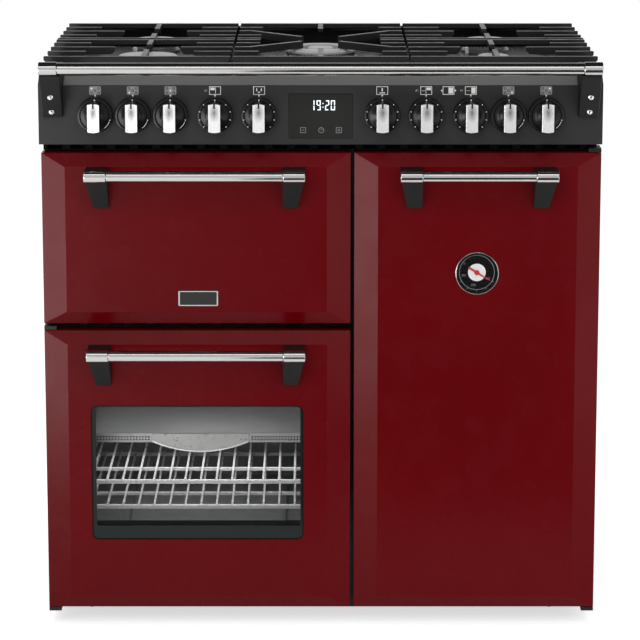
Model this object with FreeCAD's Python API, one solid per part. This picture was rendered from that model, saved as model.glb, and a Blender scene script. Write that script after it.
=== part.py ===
import FreeCAD, Part
import math
import os

os.makedirs("parts", exist_ok=True)

# All sizes are in millimetres. X runs to the right seen from the front, Y to the back, Z up.

# Overall sizes
WIDTH = 900.0
DEPTH = 663.0
BODY_INSET = 5.0
SHEET = 2.0
RUN_FIT = 0.05
SEAT_FIT = 0.2
# How far a cutting shape runs past the face that it opens
OVER = 1.0

# Feet and base frame
FOOT_PAD_R = 22.0
FOOT_PAD_H = 14.0
FOOT_STUD_R = 5.0
FOOT_STUD_TOP = 60.0
FOOT_INSET_X = 60.0
FOOT_INSET_Y = 80.0
BASE_Z = 20.0
BASE_H = 25.0
SOCKET_W = 24.0
FOOT_NUT_W = 20.0
FOOT_BEVEL = 3.0
FOOT_SIDES = 6
FOOT_NUT_GAP = 1.0
STUD_SIDES = 12
SIDE_FOLD = 18.0

# Doors
DOOR_BOTTOM = 32.0
MAIN_DOOR_H = 465.5
TOP_DOOR_H = 279.0
DOOR_STACK_GAP = 11.5
DOOR_INSET_LEFT = 3.0
DOOR_INSET_RIGHT = 1.0
DOOR_SIDE_GAP = 6.0
TALL_DOOR_W = 395.0
BEVEL_SIDE = 38.0
BEVEL_END = 21.0
BEVEL_DEPTH = 12.0
DOOR_SKIN = 1.5
DOOR_RETURN = 27.0
LINER_PLATE = 6.0
LINER_INSET = 0.5
LINER_PRESS = 2.5
DOOR_GAP = 5.0

# Handles and hob rail
HANDLE_BAR_R = 9.0
HANDLE_FERRULE_R = 10.5
HANDLE_FERRULE_L = 35.0
HANDLE_STANDOFF = 50.0
HANDLE_DROP = 29.0
HANDLE_MARGIN = 72.5
BRACKET_W = 36.0
BRACKET_FOOT_W = 24.0
BRACKET_DROP = 58.0
BRACKET_RISE = 8.0
BRACKET_LIP = 6.0
BRACKET_NOSE = 2.0
RAIL_R = 9.5
RAIL_FERRULE_R = 11.0
RAIL_FERRULE_L = 29.0
RAIL_INSET = 7.0
RAIL_FORWARD = 60.0
RAIL_OVER_STRIP = 20.0
RAIL_BRACKET_W = 32.0
RAIL_BRACKET_INSET = 1.0
RAIL_BRACKET_DROP = 63.0
RAIL_BRACKET_FOOT = 9.0
RAIL_BRACKET_UNDER = 3.0
RAIL_BRACKET_OVER = 2.0

# Door hinges
PIN_R = 4.0
PIN_INSET = 14.0
PIN_BEHIND_FACE = 20.0
PIN_L = 18.0
HINGE_BLOCK_R = 8.0
HINGE_BLOCK_H = 24.0
HINGE_PLATE_T = 6.0
HINGE_PLATE_W = 20.0
HINGE_PLATE_GAP = 1.0
DROP_PIN_R = 3.0
DROP_PIN_RISE = 12.0
DROP_ARM_W = 10.0
DROP_ARM_R = 5.5
DROP_ARM_INSET = 75.0
DROP_SLOT_GAP = 3.0
DROP_BLOCK_W = 14.0
DROP_PIN_SHORT = 2.0
DROP_BORE_STOP = 1.0

# Window and gauge
WINDOW_MARGIN = 75.0
WINDOW_RISE = 118.0
WINDOW_TOP_GAP = 122.5
WINDOW_R = 10.5
WINDOW_SHIFT = -1.0
PANE_T = 4.0
PANE_LAP = 12.0
PANE_SEAT = 8.0
GAUGE_R = 35.0
GAUGE_FROM_TOP = 194.0
GAUGE_DEPTH = 15.0
GAUGE_RIM = 2.0
NEEDLE_LONG = 25.0
NEEDLE_SHORT = 16.0
NEEDLE_W = 3.0
NEEDLE_T = 1.5
NEEDLE_PIN_R = 1.5
NEEDLE_PIN_L = 3.0
NEEDLE_TIP_W = 0.8
NEEDLE_TILT = 32.0
NEEDLE_HUB_R = 4.0
NEEDLE_CLEAR = 1.0
DIAL_DEPTH = 7.0
GAUGE_WALL = 3.0
GAUGE_STEP = 2.5
GAUGE_LEDGE = 1.5
GAUGE_BEVEL = 1.0
GAUGE_SIDES = 48
GAUGE_GLASS_SINK = 0.5

# Fascia, knobs and timer
VENT_GAP = 13.6
FASCIA_H = 94.9
FASCIA_PROUD = 3.0
STRIP_H = 13.5
STRIP_DEPTH = 18.0
UPPER_TRIM_D = 18.0
LOWER_TRIM_D = 12.0
TRIM_SLOT_PITCH = 35.0
TRIM_SLOT_SHARE = 0.64
KNOB_RISE = 48.4
KNOB_SKIRT_H = 13.0
KNOB_BEVEL = 2.0
KNOB_SIDES = 32
KNOB_GAP = 2.0
GRIP_W = 19.5
GRIP_MARGIN = 9.0
GRIP_STAND = 33.0
GRIP_BEVEL = 4.0
GRIP_TIP_BEVEL = 2.5
GRIP_NOTCH_W = 3.0
GRIP_NOTCH_L = 11.0
GRIP_NOTCH_D = 1.0
SPINDLE_R = 4.0
SPINDLE_L = 26.0
SPINDLE_HOLE_R = 6.0
TAP_W = 26.0
TAP_H = 34.0
TAP_DEPTH = 46.0
SWITCH_W = 40.0
SWITCH_DEPTH = 32.0
TIMER_W = 101.0
TIMER_H = 71.0
TIMER_RISE = 10.4
TIMER_T = 2.0
TIMER_PROUD = 1.0
TIMER_LAP = 4.0
# Knob places between the timer and a rail bracket, and the skirt's radius, as shares of that room
KNOB_PLACES = (0.1321, 0.3268, 0.5243, 0.6912, 0.8581)
KNOB_SHARE = 0.0779

# Oven cavities
BACK_SPACE = 117.5
CAVITY_WALL = 1.5
CAVITY_R = 14.0
CAVITY_FLANGE = 14.0
LEFT_CAVITY_MARGIN = 47.5
TALL_CAVITY_MARGIN = 45.5
TOP_CAVITY_FLOOR = 42.0
TOP_CAVITY_TOP_GAP = 27.0
MAIN_CAVITY_FLOOR = 98.0
MAIN_CAVITY_TOP_GAP = 32.5
TALL_CAVITY_FLOOR = 58.0
TALL_CAVITY_TOP_GAP = 48.0
FRAME_T = 3.0
SEAL_W = 9.0
SEAL_INSET = 8.0
SEAL_CLEAR = 0.6
RUNNER_W = 7.0
RUNNER_T = 4.0
RUNNER_LEAD = 20.0
RACK_ROD_W = 6.0
RACK_WIRE_W = 3.2
RACK_WIRE_SINK = 1.2
RACK_SIDE_GAP = 1.5
RACK_FRONT_GAP = 48.0
RACK_BACK_GAP = 30.0
RACK_PITCH = 26.0
RACK_BAR_SETBACK = 87.0
MAIN_RACK_RISES = (44.0, 87.0)
TALL_RACK_RISES = (150.0, 330.0)
TRAY_RISE = 172.0
TRAY_DEPTH_Z = 14.0
TRAY_PLATE_W = 160.0
TRAY_PLATE_DROP = 30.0
TRAY_SLOT_MARGIN = 24.0
TRAY_SLOT_W = 16.0
TRAY_WEB = 16.0
GRILL_TUBE_R = 3.5
TUBE_SIDES = 8
GRILL_FROM_TOP = 22.0
GRILL_PITCH = 52.0

# Oven fans
FAN_R = 72.0
FAN_HUB_R = 13.0
FAN_BLADES = 8
FAN_BLADE_T = 1.5
FAN_H = 14.0
FAN_WALL_GAP = 4.0
FAN_SHAFT_R = 4.0
FAN_SHAFT_L = 34.0
FAN_COVER_R = 105.0
FAN_COVER_SIDES = 32
FAN_COVER_H = 24.0
FAN_SLOTS = 10
FAN_SLOT_W = 10.0
FAN_SLOT_IN = 32.0
FAN_SLOT_OUT = 79.0
FAN_BLADE_IN = 32.0
FAN_COVER_BEVEL = 4.0
FAN_SHAFT_CLEAR = 2.0
MOTOR_W = 68.0
MOTOR_L = 45.0

# Hob, burners and pan supports
HOB_INSET = 2.0
HOB_RIM = 10.0
HOB_RIM_H = 8.0
SUPPORT_SETBACK = 50.0
SUPPORT_BACK_GAP = 50.5
SUPPORT_H = 35.0
SUPPORT_BAR_W = 9.0
SUPPORT_BAR_H = 12.0
SUPPORT_RIB_IN = 14.0
SUPPORT_RIB_H = 13.0
SUPPORT_TIP = 6.0
SUPPORT_FOOT = 12.0
SUPPORT_END_GAP = 5.0
CENTRE_SUPPORT_W = 282.0
SUPPORT_GAP = 4.0
MID_BAR_SHIFT = 4.5
MID_BAR_GAP = 25.0
SUPPORT_FOOT_IN = 30.0
FINGER_PITCH = 60.0
SHORT_FINGER = 62.0
FORE_FINGER_GAP = 34.0
V_ROW_FRONT = 133.0
V_ROW_BACK = 116.0
V_BEND = 118.0
V_TIP_X = 32.0
V_TIP_AHEAD = 29.0
V_TIP_BEHIND = 40.0
STUB_L = 40.0
CENTRE_FINGER_FRONT = 114.0
CENTRE_FINGER_REAR = 83.0
LONG_FINGER_GAP = 54.0
BURNER_SHIFT = 10.0
BURNER_FRONT = 131.0
BURNER_BACK = 121.0
BURNER_CUP_DROP = 26.0
BURNER_FLANGE_H = 6.0
BURNER_CROWN_H = 9.0
BURNER_CAP_H = 6.5
BURNER_FLANGE_OUT = 5.0
PORT_W = 2.2
PORT_H = 4.0
PORT_PITCH = 24.0
PORT_D = 4.0
BURNER_CUP_SHARE = 0.7
BURNER_CROWN_IN = 3.0
BURNER_SIDES = 24
BURNER_FLANGE_TAPER = 2.0
CAP_EDGE_IN = 3.5
WOK_CAP_R = 60.0
WOK_RING_IN = 38.0
WOK_CENTRE_R = 22.0
SPARK_R = 3.0
SPARK_H = 13.0
SPARK_GAP = 6.0
SPARK_TIP_R = 1.0
SPARK_TIP_H = 3.0
SPARK_SIDES = 6
LEFT_FRONT_CAP_R = 49.0
REAR_CAP_R = 36.0
RIGHT_FRONT_CAP_R = 26.0

# Gas pipe and back panel
PIPE_W = 16.0
PIPE_INSET = 38.0
INLET_R = 14.0
INLET_BORE_R = 9.3
INLET_BORE_L = 16.0
INLET_L = 34.0
VENT_SLOT_W = 6.0
VENT_SLOT_L = 70.0
VENT_SLOTS = 12
TERMINAL_W = 110.0
TERMINAL_H = 80.0
TERMINAL_D = 34.0
TERMINAL_Z = 120.0
GLAND_R = 12.0
GLAND_L = 14.0

# Planes that follow from the sizes above
BACK_Y = DEPTH / 2.0
HANDLE_Y = HANDLE_FERRULE_R - DEPTH / 2.0
DOOR_FACE_Y = HANDLE_Y + HANDLE_STANDOFF
DOOR_EDGE_Y = DOOR_FACE_Y + BEVEL_DEPTH
DOOR_RIM_Y = DOOR_EDGE_Y + DOOR_RETURN
DOOR_BACK_Y = DOOR_RIM_Y + LINER_PLATE
FRAME_Y = DOOR_BACK_Y + DOOR_GAP
MOUTH_Y = FRAME_Y + FRAME_T
PANEL_Y = BACK_Y - SHEET
CAVITY_BACK_Y = PANEL_Y - BACK_SPACE
RACK_Y = MOUTH_Y + RACK_FRONT_GAP
RACK_END_Y = CAVITY_BACK_Y - RACK_BACK_GAP
HINGE_Y = DOOR_FACE_Y + PIN_BEHIND_FACE
BLOCK_Y = DOOR_EDGE_Y + DOOR_SKIN + SEAT_FIT
FASCIA_Y = DOOR_EDGE_Y - FASCIA_PROUD
FASCIA_IN_Y = FASCIA_Y + SHEET
STRIP_Y = FASCIA_Y + STRIP_DEPTH
RAIL_Y = DOOR_EDGE_Y - RAIL_FORWARD
SUPPORT_Y = DOOR_EDGE_Y + SUPPORT_SETBACK
SUPPORT_DEPTH = BACK_Y - SUPPORT_BACK_GAP - SUPPORT_Y
RIM_Y = DOOR_FACE_Y - GAUGE_RIM
DIAL_Y = DOOR_FACE_Y + DIAL_DEPTH

BODY_W = WIDTH - 2 * BODY_INSET
HOB_W = WIDTH - 2 * HOB_INSET
BODY_X = BODY_W / 2.0
RAIL_END_X = WIDTH / 2.0 - RAIL_INSET
WALL_X = BODY_X - SHEET
LEFT_DOOR_X = DOOR_INSET_LEFT - WIDTH / 2.0
TALL_DOOR_R = WIDTH / 2.0 - DOOR_INSET_RIGHT
TALL_DOOR_X = TALL_DOOR_R - TALL_DOOR_W
LEFT_DOOR_R = TALL_DOOR_X - DOOR_SIDE_GAP
LEFT_DOOR_W = LEFT_DOOR_R - LEFT_DOOR_X
LEFT_MID_X = LEFT_DOOR_X + LEFT_DOOR_W / 2.0
TALL_MID_X = TALL_DOOR_X + TALL_DOOR_W / 2.0
LEFT_HANDLE_L = LEFT_DOOR_W - 2 * HANDLE_MARGIN
TALL_HANDLE_L = TALL_DOOR_W - 2 * HANDLE_MARGIN
WINDOW_W = LEFT_DOOR_W - 2 * WINDOW_MARGIN
LEFT_CAVITY_W = LEFT_DOOR_W - 2 * LEFT_CAVITY_MARGIN
TALL_CAVITY_W = TALL_DOOR_W - 2 * TALL_CAVITY_MARGIN
PIPE_END_X = WALL_X - PIPE_INSET
SIDE_SUPPORT_X = CENTRE_SUPPORT_W / 2.0 + SUPPORT_GAP
SIDE_SUPPORT_W = WIDTH / 2.0 - SUPPORT_END_GAP - SIDE_SUPPORT_X
BURNER_X = SIDE_SUPPORT_X + SIDE_SUPPORT_W / 2.0 - BURNER_SHIFT

# Five knobs on each side of the timer: two for the ovens, and on the right a third one, then the gas knobs
KNOB_ROOM = RAIL_END_X - RAIL_BRACKET_INSET - RAIL_BRACKET_W - TIMER_W / 2.0
KNOB_X = [TIMER_W / 2.0 + KNOB_ROOM * share for share in KNOB_PLACES]
KNOB_SKIRT_R = KNOB_ROOM * KNOB_SHARE
GRIP_H = 2 * KNOB_SKIRT_R - GRIP_MARGIN
GAS_KNOB_X = [-KNOB_X[4], -KNOB_X[3], -KNOB_X[2], KNOB_X[3], KNOB_X[4]]
OVEN_KNOB_X = [-KNOB_X[1], -KNOB_X[0], KNOB_X[0], KNOB_X[1], KNOB_X[2]]

# Rows of the pan supports, measured back from their front bar
SUPPORT_MID_FRONT = SUPPORT_DEPTH / 2.0 + MID_BAR_SHIFT - MID_BAR_GAP / 2.0
SUPPORT_MID_REAR = SUPPORT_MID_FRONT + MID_BAR_GAP
BURNER_REAR = SUPPORT_DEPTH - BURNER_BACK
V_ROW_REAR = SUPPORT_DEPTH - V_ROW_BACK
V_TIP_FRONT = SUPPORT_DEPTH / 2.0 - V_TIP_AHEAD
V_TIP_REAR = SUPPORT_DEPTH / 2.0 + V_TIP_BEHIND

BASE_TOP = BASE_Z + BASE_H
MAIN_DOOR_TOP = DOOR_BOTTOM + MAIN_DOOR_H
TOP_DOOR_Z = MAIN_DOOR_TOP + DOOR_STACK_GAP
DOORS_TOP = TOP_DOOR_Z + TOP_DOOR_H
FASCIA_Z = DOORS_TOP + VENT_GAP
FASCIA_TOP = FASCIA_Z + FASCIA_H
HOB_RIM_Z = FASCIA_TOP + STRIP_H
HOB_FLOOR_Z = HOB_RIM_Z - HOB_RIM_H
HOB_UNDER_Z = HOB_FLOOR_Z - SHEET
SUPPORT_TOP = HOB_FLOOR_Z + SUPPORT_H
RAIL_Z = HOB_RIM_Z + RAIL_OVER_STRIP
KNOB_Z = FASCIA_Z + KNOB_RISE
DROP_PIN_Z = TOP_DOOR_Z + DROP_PIN_RISE
GAUGE_Z = DOORS_TOP - GAUGE_FROM_TOP
WINDOW_X = LEFT_MID_X + WINDOW_SHIFT
WINDOW_Z = DOOR_BOTTOM + WINDOW_RISE
WINDOW_H = MAIN_DOOR_H - WINDOW_RISE - WINDOW_TOP_GAP
MAIN_FLOOR_Z = DOOR_BOTTOM + MAIN_CAVITY_FLOOR
TOP_FLOOR_Z = TOP_DOOR_Z + TOP_CAVITY_FLOOR
TALL_FLOOR_Z = DOOR_BOTTOM + TALL_CAVITY_FLOOR
MAIN_CAVITY_H = MAIN_DOOR_TOP - MAIN_CAVITY_TOP_GAP - MAIN_FLOOR_Z
TOP_CAVITY_H = DOORS_TOP - TOP_CAVITY_TOP_GAP - TOP_FLOOR_Z
TALL_CAVITY_H = DOORS_TOP - TALL_CAVITY_TOP_GAP - TALL_FLOOR_Z
BURNER_CROWN_Z = HOB_FLOOR_Z + BURNER_FLANGE_H
BURNER_CAP_Z = BURNER_CROWN_Z + BURNER_CROWN_H
SUPPORT_UNDER = SUPPORT_TOP - SUPPORT_BAR_H

MAIN_DOOR = (LEFT_DOOR_X, LEFT_DOOR_R, DOOR_BOTTOM, MAIN_DOOR_TOP)
TOP_DOOR = (LEFT_DOOR_X, LEFT_DOOR_R, TOP_DOOR_Z, DOORS_TOP)
TALL_DOOR = (TALL_DOOR_X, TALL_DOOR_R, DOOR_BOTTOM, DOORS_TOP)
MAIN_CAVITY = (LEFT_MID_X, LEFT_CAVITY_W, MAIN_FLOOR_Z, MAIN_CAVITY_H)
TOP_CAVITY = (LEFT_MID_X, LEFT_CAVITY_W, TOP_FLOOR_Z, TOP_CAVITY_H)
TALL_CAVITY = (TALL_MID_X, TALL_CAVITY_W, TALL_FLOOR_Z, TALL_CAVITY_H)

# Each burner: centre in X, distance behind the front bar, cap radius
SIDE_BURNERS = (
    (-BURNER_X, BURNER_FRONT, LEFT_FRONT_CAP_R),
    (-BURNER_X, BURNER_REAR, REAR_CAP_R),
    (BURNER_X, BURNER_FRONT, RIGHT_FRONT_CAP_R),
    (BURNER_X, BURNER_REAR, REAR_CAP_R),
)
WOK_Y = SUPPORT_Y + SUPPORT_DEPTH / 2.0


def vec(x, y, z):
    return FreeCAD.Vector(x, y, z)


def box(x0, x1, y0, y1, z0, z1):
    return Part.makeBox(x1 - x0, y1 - y0, z1 - z0, vec(x0, y0, z0))


def rod_x(x0, x1, y, z, r):
    return Part.makeCylinder(r, x1 - x0, vec(x0, y, z), vec(1, 0, 0))


def rod_y(x, y0, y1, z, r):
    return Part.makeCylinder(r, y1 - y0, vec(x, y0, z), vec(0, 1, 0))


def rod_z(x, y, z0, z1, r):
    return Part.makeCylinder(r, z1 - z0, vec(x, y, z0), vec(0, 0, 1))


def fused(shapes):
    return shapes[0].multiFuse(shapes[1:]).removeSplitter()


def polygon(points):
    return Part.makePolygon(points + [points[0]])


def prism_x(points, x0, x1):
    """A closed outline of (y, z) points drawn out along X."""
    face = Part.Face(polygon([vec(x0, y, z) for y, z in points]))
    return face.extrude(vec(x1 - x0, 0, 0))


def prism_y(points, y0, y1):
    """A closed outline of (x, z) points drawn out along Y."""
    face = Part.Face(polygon([vec(x, y0, z) for x, z in points]))
    return face.extrude(vec(0, y1 - y0, 0))


def prism_z(points, z0, z1):
    """A closed outline of (x, y) points drawn out along Z."""
    face = Part.Face(polygon([vec(x, y, z0) for x, y in points]))
    return face.extrude(vec(0, 0, z1 - z0))


def ring_points(r, sides):
    """Corners of a regular polygon whose flats lie on a circle."""
    corner = r / math.cos(math.pi / sides)
    turns = [2 * math.pi * (k + 0.5) / sides for k in range(sides)]
    return [(corner * math.cos(t), corner * math.sin(t)) for t in turns]


def inside(r, sides):
    """Flat radius of a regular polygon whose corners lie on a circle."""
    return r * math.cos(math.pi / sides)


def column_y(x, y0, y1, z, r, sides):
    """A regular prism along Y whose flats lie on a circle."""
    return prism_y([(x + a, z + b) for a, b in ring_points(r, sides)], y0, y1)


def column_z(x, y, z0, z1, r, sides):
    """A regular prism along Z whose flats lie on a circle."""
    return prism_z([(x + a, y + b) for a, b in ring_points(r, sides)], z0, z1)


def bevelled(shape, size, axis, level):
    """Bevel the edges that lie in one plane square to an axis, 0 for X, 1 for Y or 2 for Z."""
    edges = [e for e in shape.Edges if all(round(v.Point[axis] - level, 6) == 0 for v in e.Vertexes)]
    return shape.makeChamfer(size, edges)


def rounded_block(x0, x1, y0, y1, z0, z1, r, along=1):
    """A block whose four edges along one axis, by default Y, are rounded."""
    block = box(x0, x1, y0, y1, z0, z1)
    edges = [e for e in block.Edges if abs(e.tangentAt(e.FirstParameter)[along]) > 0.9]
    return block.makeFillet(r, edges)


def save(name, shapes):
    """Write one node, made of one or more separate solids."""
    shape = shapes[0] if len(shapes) == 1 else Part.makeCompound(shapes)
    shape.exportStep("parts/" + name + ".step")


def cavity_sides(cavity):
    mid, width, floor, height = cavity
    return mid - width / 2.0, mid + width / 2.0, floor, floor + height


# Cabinet

def foot_places():
    xs = (FOOT_INSET_X - BODY_X, BODY_X - FOOT_INSET_X)
    ys = (MOUTH_Y + FOOT_INSET_Y, PANEL_Y - FOOT_INSET_Y)
    return [(x, y) for y in ys for x in xs]


def base_frame():
    """Folded tray, open below, with a threaded socket block over each foot."""
    tray = box(-WALL_X, WALL_X, MOUTH_Y, PANEL_Y, BASE_Z, BASE_TOP)
    hollow = box(SHEET - WALL_X, WALL_X - SHEET, MOUTH_Y + SHEET, PANEL_Y - SHEET,
                 BASE_Z - OVER, BASE_TOP - SHEET)
    half = SOCKET_W / 2.0
    pieces = [tray.cut(hollow)]
    for x, y in foot_places():
        pieces.append(box(x - half, x + half, y - half, y + half, BASE_Z, FOOT_STUD_TOP + SHEET))
    frame = fused(pieces)
    for x, y in foot_places():
        bore = column_z(x, y, BASE_Z - OVER, FOOT_STUD_TOP + RUN_FIT, FOOT_STUD_R + RUN_FIT, STUD_SIDES)
        frame = frame.cut(bore)
    return frame


def foot(x, y):
    """Six-sided moulded pad with bevelled edges, a nut waist and a stud in the base frame's socket."""
    pad = column_z(x, y, 0, FOOT_PAD_H, FOOT_PAD_R, FOOT_SIDES)
    pad = bevelled(bevelled(pad, FOOT_BEVEL, 2, 0), FOOT_BEVEL, 2, FOOT_PAD_H)
    nut = column_z(x, y, FOOT_PAD_H, BASE_Z - FOOT_NUT_GAP, FOOT_NUT_W / 2.0, FOOT_SIDES)
    stud = column_z(x, y, FOOT_PAD_H, FOOT_STUD_TOP, inside(FOOT_STUD_R, STUD_SIDES), STUD_SIDES)
    return fused([pad, nut, stud])


def side_panels():
    """Two folded sheets with a stiffening lip turned in along the top edge."""
    panels = []
    for side in (-1, 1):
        outer, inner, lip = side * BODY_X, side * WALL_X, side * (WALL_X - SIDE_FOLD)
        sheet = box(min(outer, inner), max(outer, inner), MOUTH_Y, PANEL_Y, BASE_Z, HOB_UNDER_Z)
        fold = box(min(inner, lip), max(inner, lip), MOUTH_Y, PANEL_Y, HOB_UNDER_Z - SHEET, HOB_UNDER_Z)
        panels.append(fused([sheet, fold]))
    return panels


def vent_slots():
    """Two rows of upright slots through the back panel."""
    pitch = (BODY_W - 2 * VENT_SLOT_L) / VENT_SLOTS
    half = VENT_SLOT_W / 2.0
    slots = []
    for row_z in (DOORS_TOP, MAIN_DOOR_TOP):
        for k in range(VENT_SLOTS):
            x = (k - (VENT_SLOTS - 1) / 2.0) * pitch
            slots.append(box(x - half, x + half, PANEL_Y - OVER, BACK_Y + OVER, row_z - VENT_SLOT_L, row_z))
    return Part.makeCompound(slots)


def terminal_box(x0, x1, z0, z1):
    """Sunk box, open to the back, with a cable gland standing on its floor."""
    floor_y = BACK_Y - TERMINAL_D
    shell = box(x0, x1, floor_y, BACK_Y, z0, z1)
    hollow = box(x0 + SHEET, x1 - SHEET, floor_y + SHEET, BACK_Y + OVER, z0 + SHEET, z1 - SHEET)
    x, z = (x0 + x1) / 2.0, (z0 + z1) / 2.0
    gland = rod_y(x, floor_y, floor_y + GLAND_L, z, GLAND_R)
    bore = rod_y(x, floor_y - OVER, floor_y + GLAND_L + OVER, z, GLAND_R / 2.0)
    return fused([shell.cut(hollow), gland]).cut(bore)


def back_panel():
    """Sheet with rows of vent slots and the gas inlet's hole, and the terminal box set into it."""
    sheet = box(-BODY_X, BODY_X, PANEL_Y, BACK_Y, BASE_Z, HOB_UNDER_Z).cut(vent_slots())
    sheet = sheet.cut(rod_y(PIPE_END_X, PANEL_Y - OVER, BACK_Y + OVER, KNOB_Z, INLET_R + SEAT_FIT))
    x0, z0 = TERMINAL_W - BODY_X, TERMINAL_Z
    x1, z1 = x0 + TERMINAL_W, z0 + TERMINAL_H
    sheet = sheet.cut(box(x0, x1, PANEL_Y - OVER, BACK_Y + OVER, z0, z1))
    return [sheet, terminal_box(x0, x1, z0, z1)]


def front_frame():
    """Front sheet with the three oven mouths cut out."""
    plate = box(-BODY_X, BODY_X, FRAME_Y, MOUTH_Y, BASE_Z, FASCIA_Z + 2 * SHEET)
    for cavity in (MAIN_CAVITY, TOP_CAVITY, TALL_CAVITY):
        x0, x1, z0, z1 = cavity_sides(cavity)
        plate = plate.cut(rounded_block(x0, x1, FRAME_Y - OVER, MOUTH_Y + OVER, z0, z1, CAVITY_R))
    return plate


def oven_liner(cavity, runner_rises, fan_rise):
    """Enamelled box with a mouth flange and rack runners, and the fan's hole in its back."""
    x0, x1, z0, z1 = cavity_sides(cavity)
    w = CAVITY_WALL
    shell = rounded_block(x0 - w, x1 + w, MOUTH_Y, CAVITY_BACK_Y + w, z0 - w, z1 + w, CAVITY_R + w)
    flange = rounded_block(x0 - CAVITY_FLANGE, x1 + CAVITY_FLANGE, MOUTH_Y, MOUTH_Y + w,
                           z0 - CAVITY_FLANGE, z1 + CAVITY_FLANGE, CAVITY_R + CAVITY_FLANGE)
    liner = fused([shell, flange])
    liner = liner.cut(rounded_block(x0, x1, MOUTH_Y - OVER, CAVITY_BACK_Y, z0, z1, CAVITY_R))
    runners = []
    for rise in runner_rises:
        top = z0 + rise
        y0, y1 = RACK_Y - RUNNER_LEAD, CAVITY_BACK_Y
        left = [(x0 - w / 2, top - RUNNER_T - RUNNER_W), (x0 + RUNNER_W, top - RUNNER_T),
                (x0 + RUNNER_W, top), (x0 - w / 2, top)]
        right = [(x0 + x1 - x, z) for x, z in left]
        runners += [prism_y(left, y0, y1), prism_y(right, y0, y1)]
    if runners:
        liner = fused([liner] + runners)
    if fan_rise:
        mid = (x0 + x1) / 2.0
        hole_r = FAN_SHAFT_R + FAN_SHAFT_CLEAR
        liner = liner.cut(rod_y(mid, CAVITY_BACK_Y - OVER, CAVITY_BACK_Y + w + OVER, z0 + fan_rise, hole_r))
    return liner


def door_seal(cavity):
    """Closed rubber frame round an oven's mouth, just clear of the shut door."""
    x0, x1, z0, z1 = cavity_sides(cavity)
    a = SEAL_INSET + SEAL_W
    b = SEAL_INSET
    y0 = DOOR_BACK_Y + SEAL_CLEAR
    ring = rounded_block(x0 - a, x1 + a, y0, FRAME_Y, z0 - a, z1 + a, CAVITY_R + a)
    return ring.cut(rounded_block(x0 - b, x1 + b, y0 - OVER, FRAME_Y + OVER, z0 - b, z1 + b, CAVITY_R + b))


def vent_trim(x0, x1, z0, z1, depth):
    """Black trim bar with a row of upright vent slots."""
    bar = box(x0, x1, FRAME_Y - depth, FRAME_Y, z0, z1)
    count = int((x1 - x0) / TRIM_SLOT_PITCH)
    pitch = (x1 - x0) / count
    half = pitch * TRIM_SLOT_SHARE / 2.0
    slots = []
    for k in range(count):
        x = x0 + (k + 0.5) * pitch
        slots.append(box(x - half, x + half, FRAME_Y - depth - OVER, FRAME_Y - SHEET, z0 + SHEET, z1 - SHEET))
    return bar.cut(Part.makeCompound(slots))


def vent_trims():
    upper_x1 = TALL_DOOR_R - HINGE_PLATE_W - DOOR_SIDE_GAP
    upper = vent_trim(-BODY_X, upper_x1, DOORS_TOP + SHEET, FASCIA_Z, UPPER_TRIM_D)
    lower_x0 = LEFT_DOOR_X + HINGE_PLATE_W + DOOR_SIDE_GAP
    lower = vent_trim(lower_x0, LEFT_DOOR_R, MAIN_DOOR_TOP + SHEET, TOP_DOOR_Z - SHEET, LOWER_TRIM_D)
    return [upper, lower]


# Fascia, controls and hob rail

def control_fascia():
    """Folded sheet with a sloped strip to the hob, closed ends and holes for spindles and timer."""
    half = WIDTH / 2.0
    slope = STRIP_H / STRIP_DEPTH
    drop = SHEET * math.hypot(1, slope)
    outer = [(FRAME_Y, FASCIA_Z), (FASCIA_Y, FASCIA_Z), (FASCIA_Y, FASCIA_TOP), (STRIP_Y, HOB_RIM_Z),
             (STRIP_Y, HOB_UNDER_Z), (FRAME_Y, HOB_UNDER_Z)]
    strip_in_y = STRIP_Y - SHEET
    inner = [(FRAME_Y + OVER, FASCIA_Z + SHEET), (FASCIA_IN_Y, FASCIA_Z + SHEET),
             (FASCIA_IN_Y, FASCIA_TOP + slope * SHEET - drop),
             (strip_in_y, FASCIA_TOP + slope * (strip_in_y - FASCIA_Y) - drop),
             (strip_in_y, HOB_UNDER_Z - SHEET), (FRAME_Y + OVER, HOB_UNDER_Z - SHEET)]
    fascia = prism_x(outer, -half, half).cut(prism_x(inner, SHEET - half, half - SHEET))
    for x in GAS_KNOB_X + OVEN_KNOB_X:
        hole = column_y(x, FASCIA_Y - OVER, FASCIA_IN_Y + OVER, KNOB_Z, SPINDLE_HOLE_R, TUBE_SIDES)
        fascia = fascia.cut(hole)
    seat_y = FASCIA_Y - TIMER_PROUD + TIMER_T
    x1, z0 = TIMER_W / 2.0 + SEAT_FIT, FASCIA_Z + TIMER_RISE - SEAT_FIT
    z1 = z0 + TIMER_H + 2 * SEAT_FIT
    fascia = fascia.cut(box(-x1, x1, FASCIA_Y - OVER, seat_y, z0, z1))
    lap = TIMER_LAP
    return fascia.cut(box(lap - x1, x1 - lap, FASCIA_Y - OVER, FASCIA_IN_Y + OVER, z0 + lap, z1 - lap))


def timer_glass():
    y0 = FASCIA_Y - TIMER_PROUD
    z0 = FASCIA_Z + TIMER_RISE
    return rounded_block(-TIMER_W / 2, TIMER_W / 2, y0, y0 + TIMER_T, z0, z0 + TIMER_H, SHEET)


def grip_outline(x):
    """The grip's upright bar with bevelled corners."""
    a, b, c = GRIP_W / 2.0, GRIP_H / 2.0, GRIP_BEVEL
    corners = [(a, c - b), (a, b - c), (a - c, b), (c - a, b),
               (-a, b - c), (-a, c - b), (c - a, -b), (a - c, -b)]
    return [(x + u, KNOB_Z + w) for u, w in corners]


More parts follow.
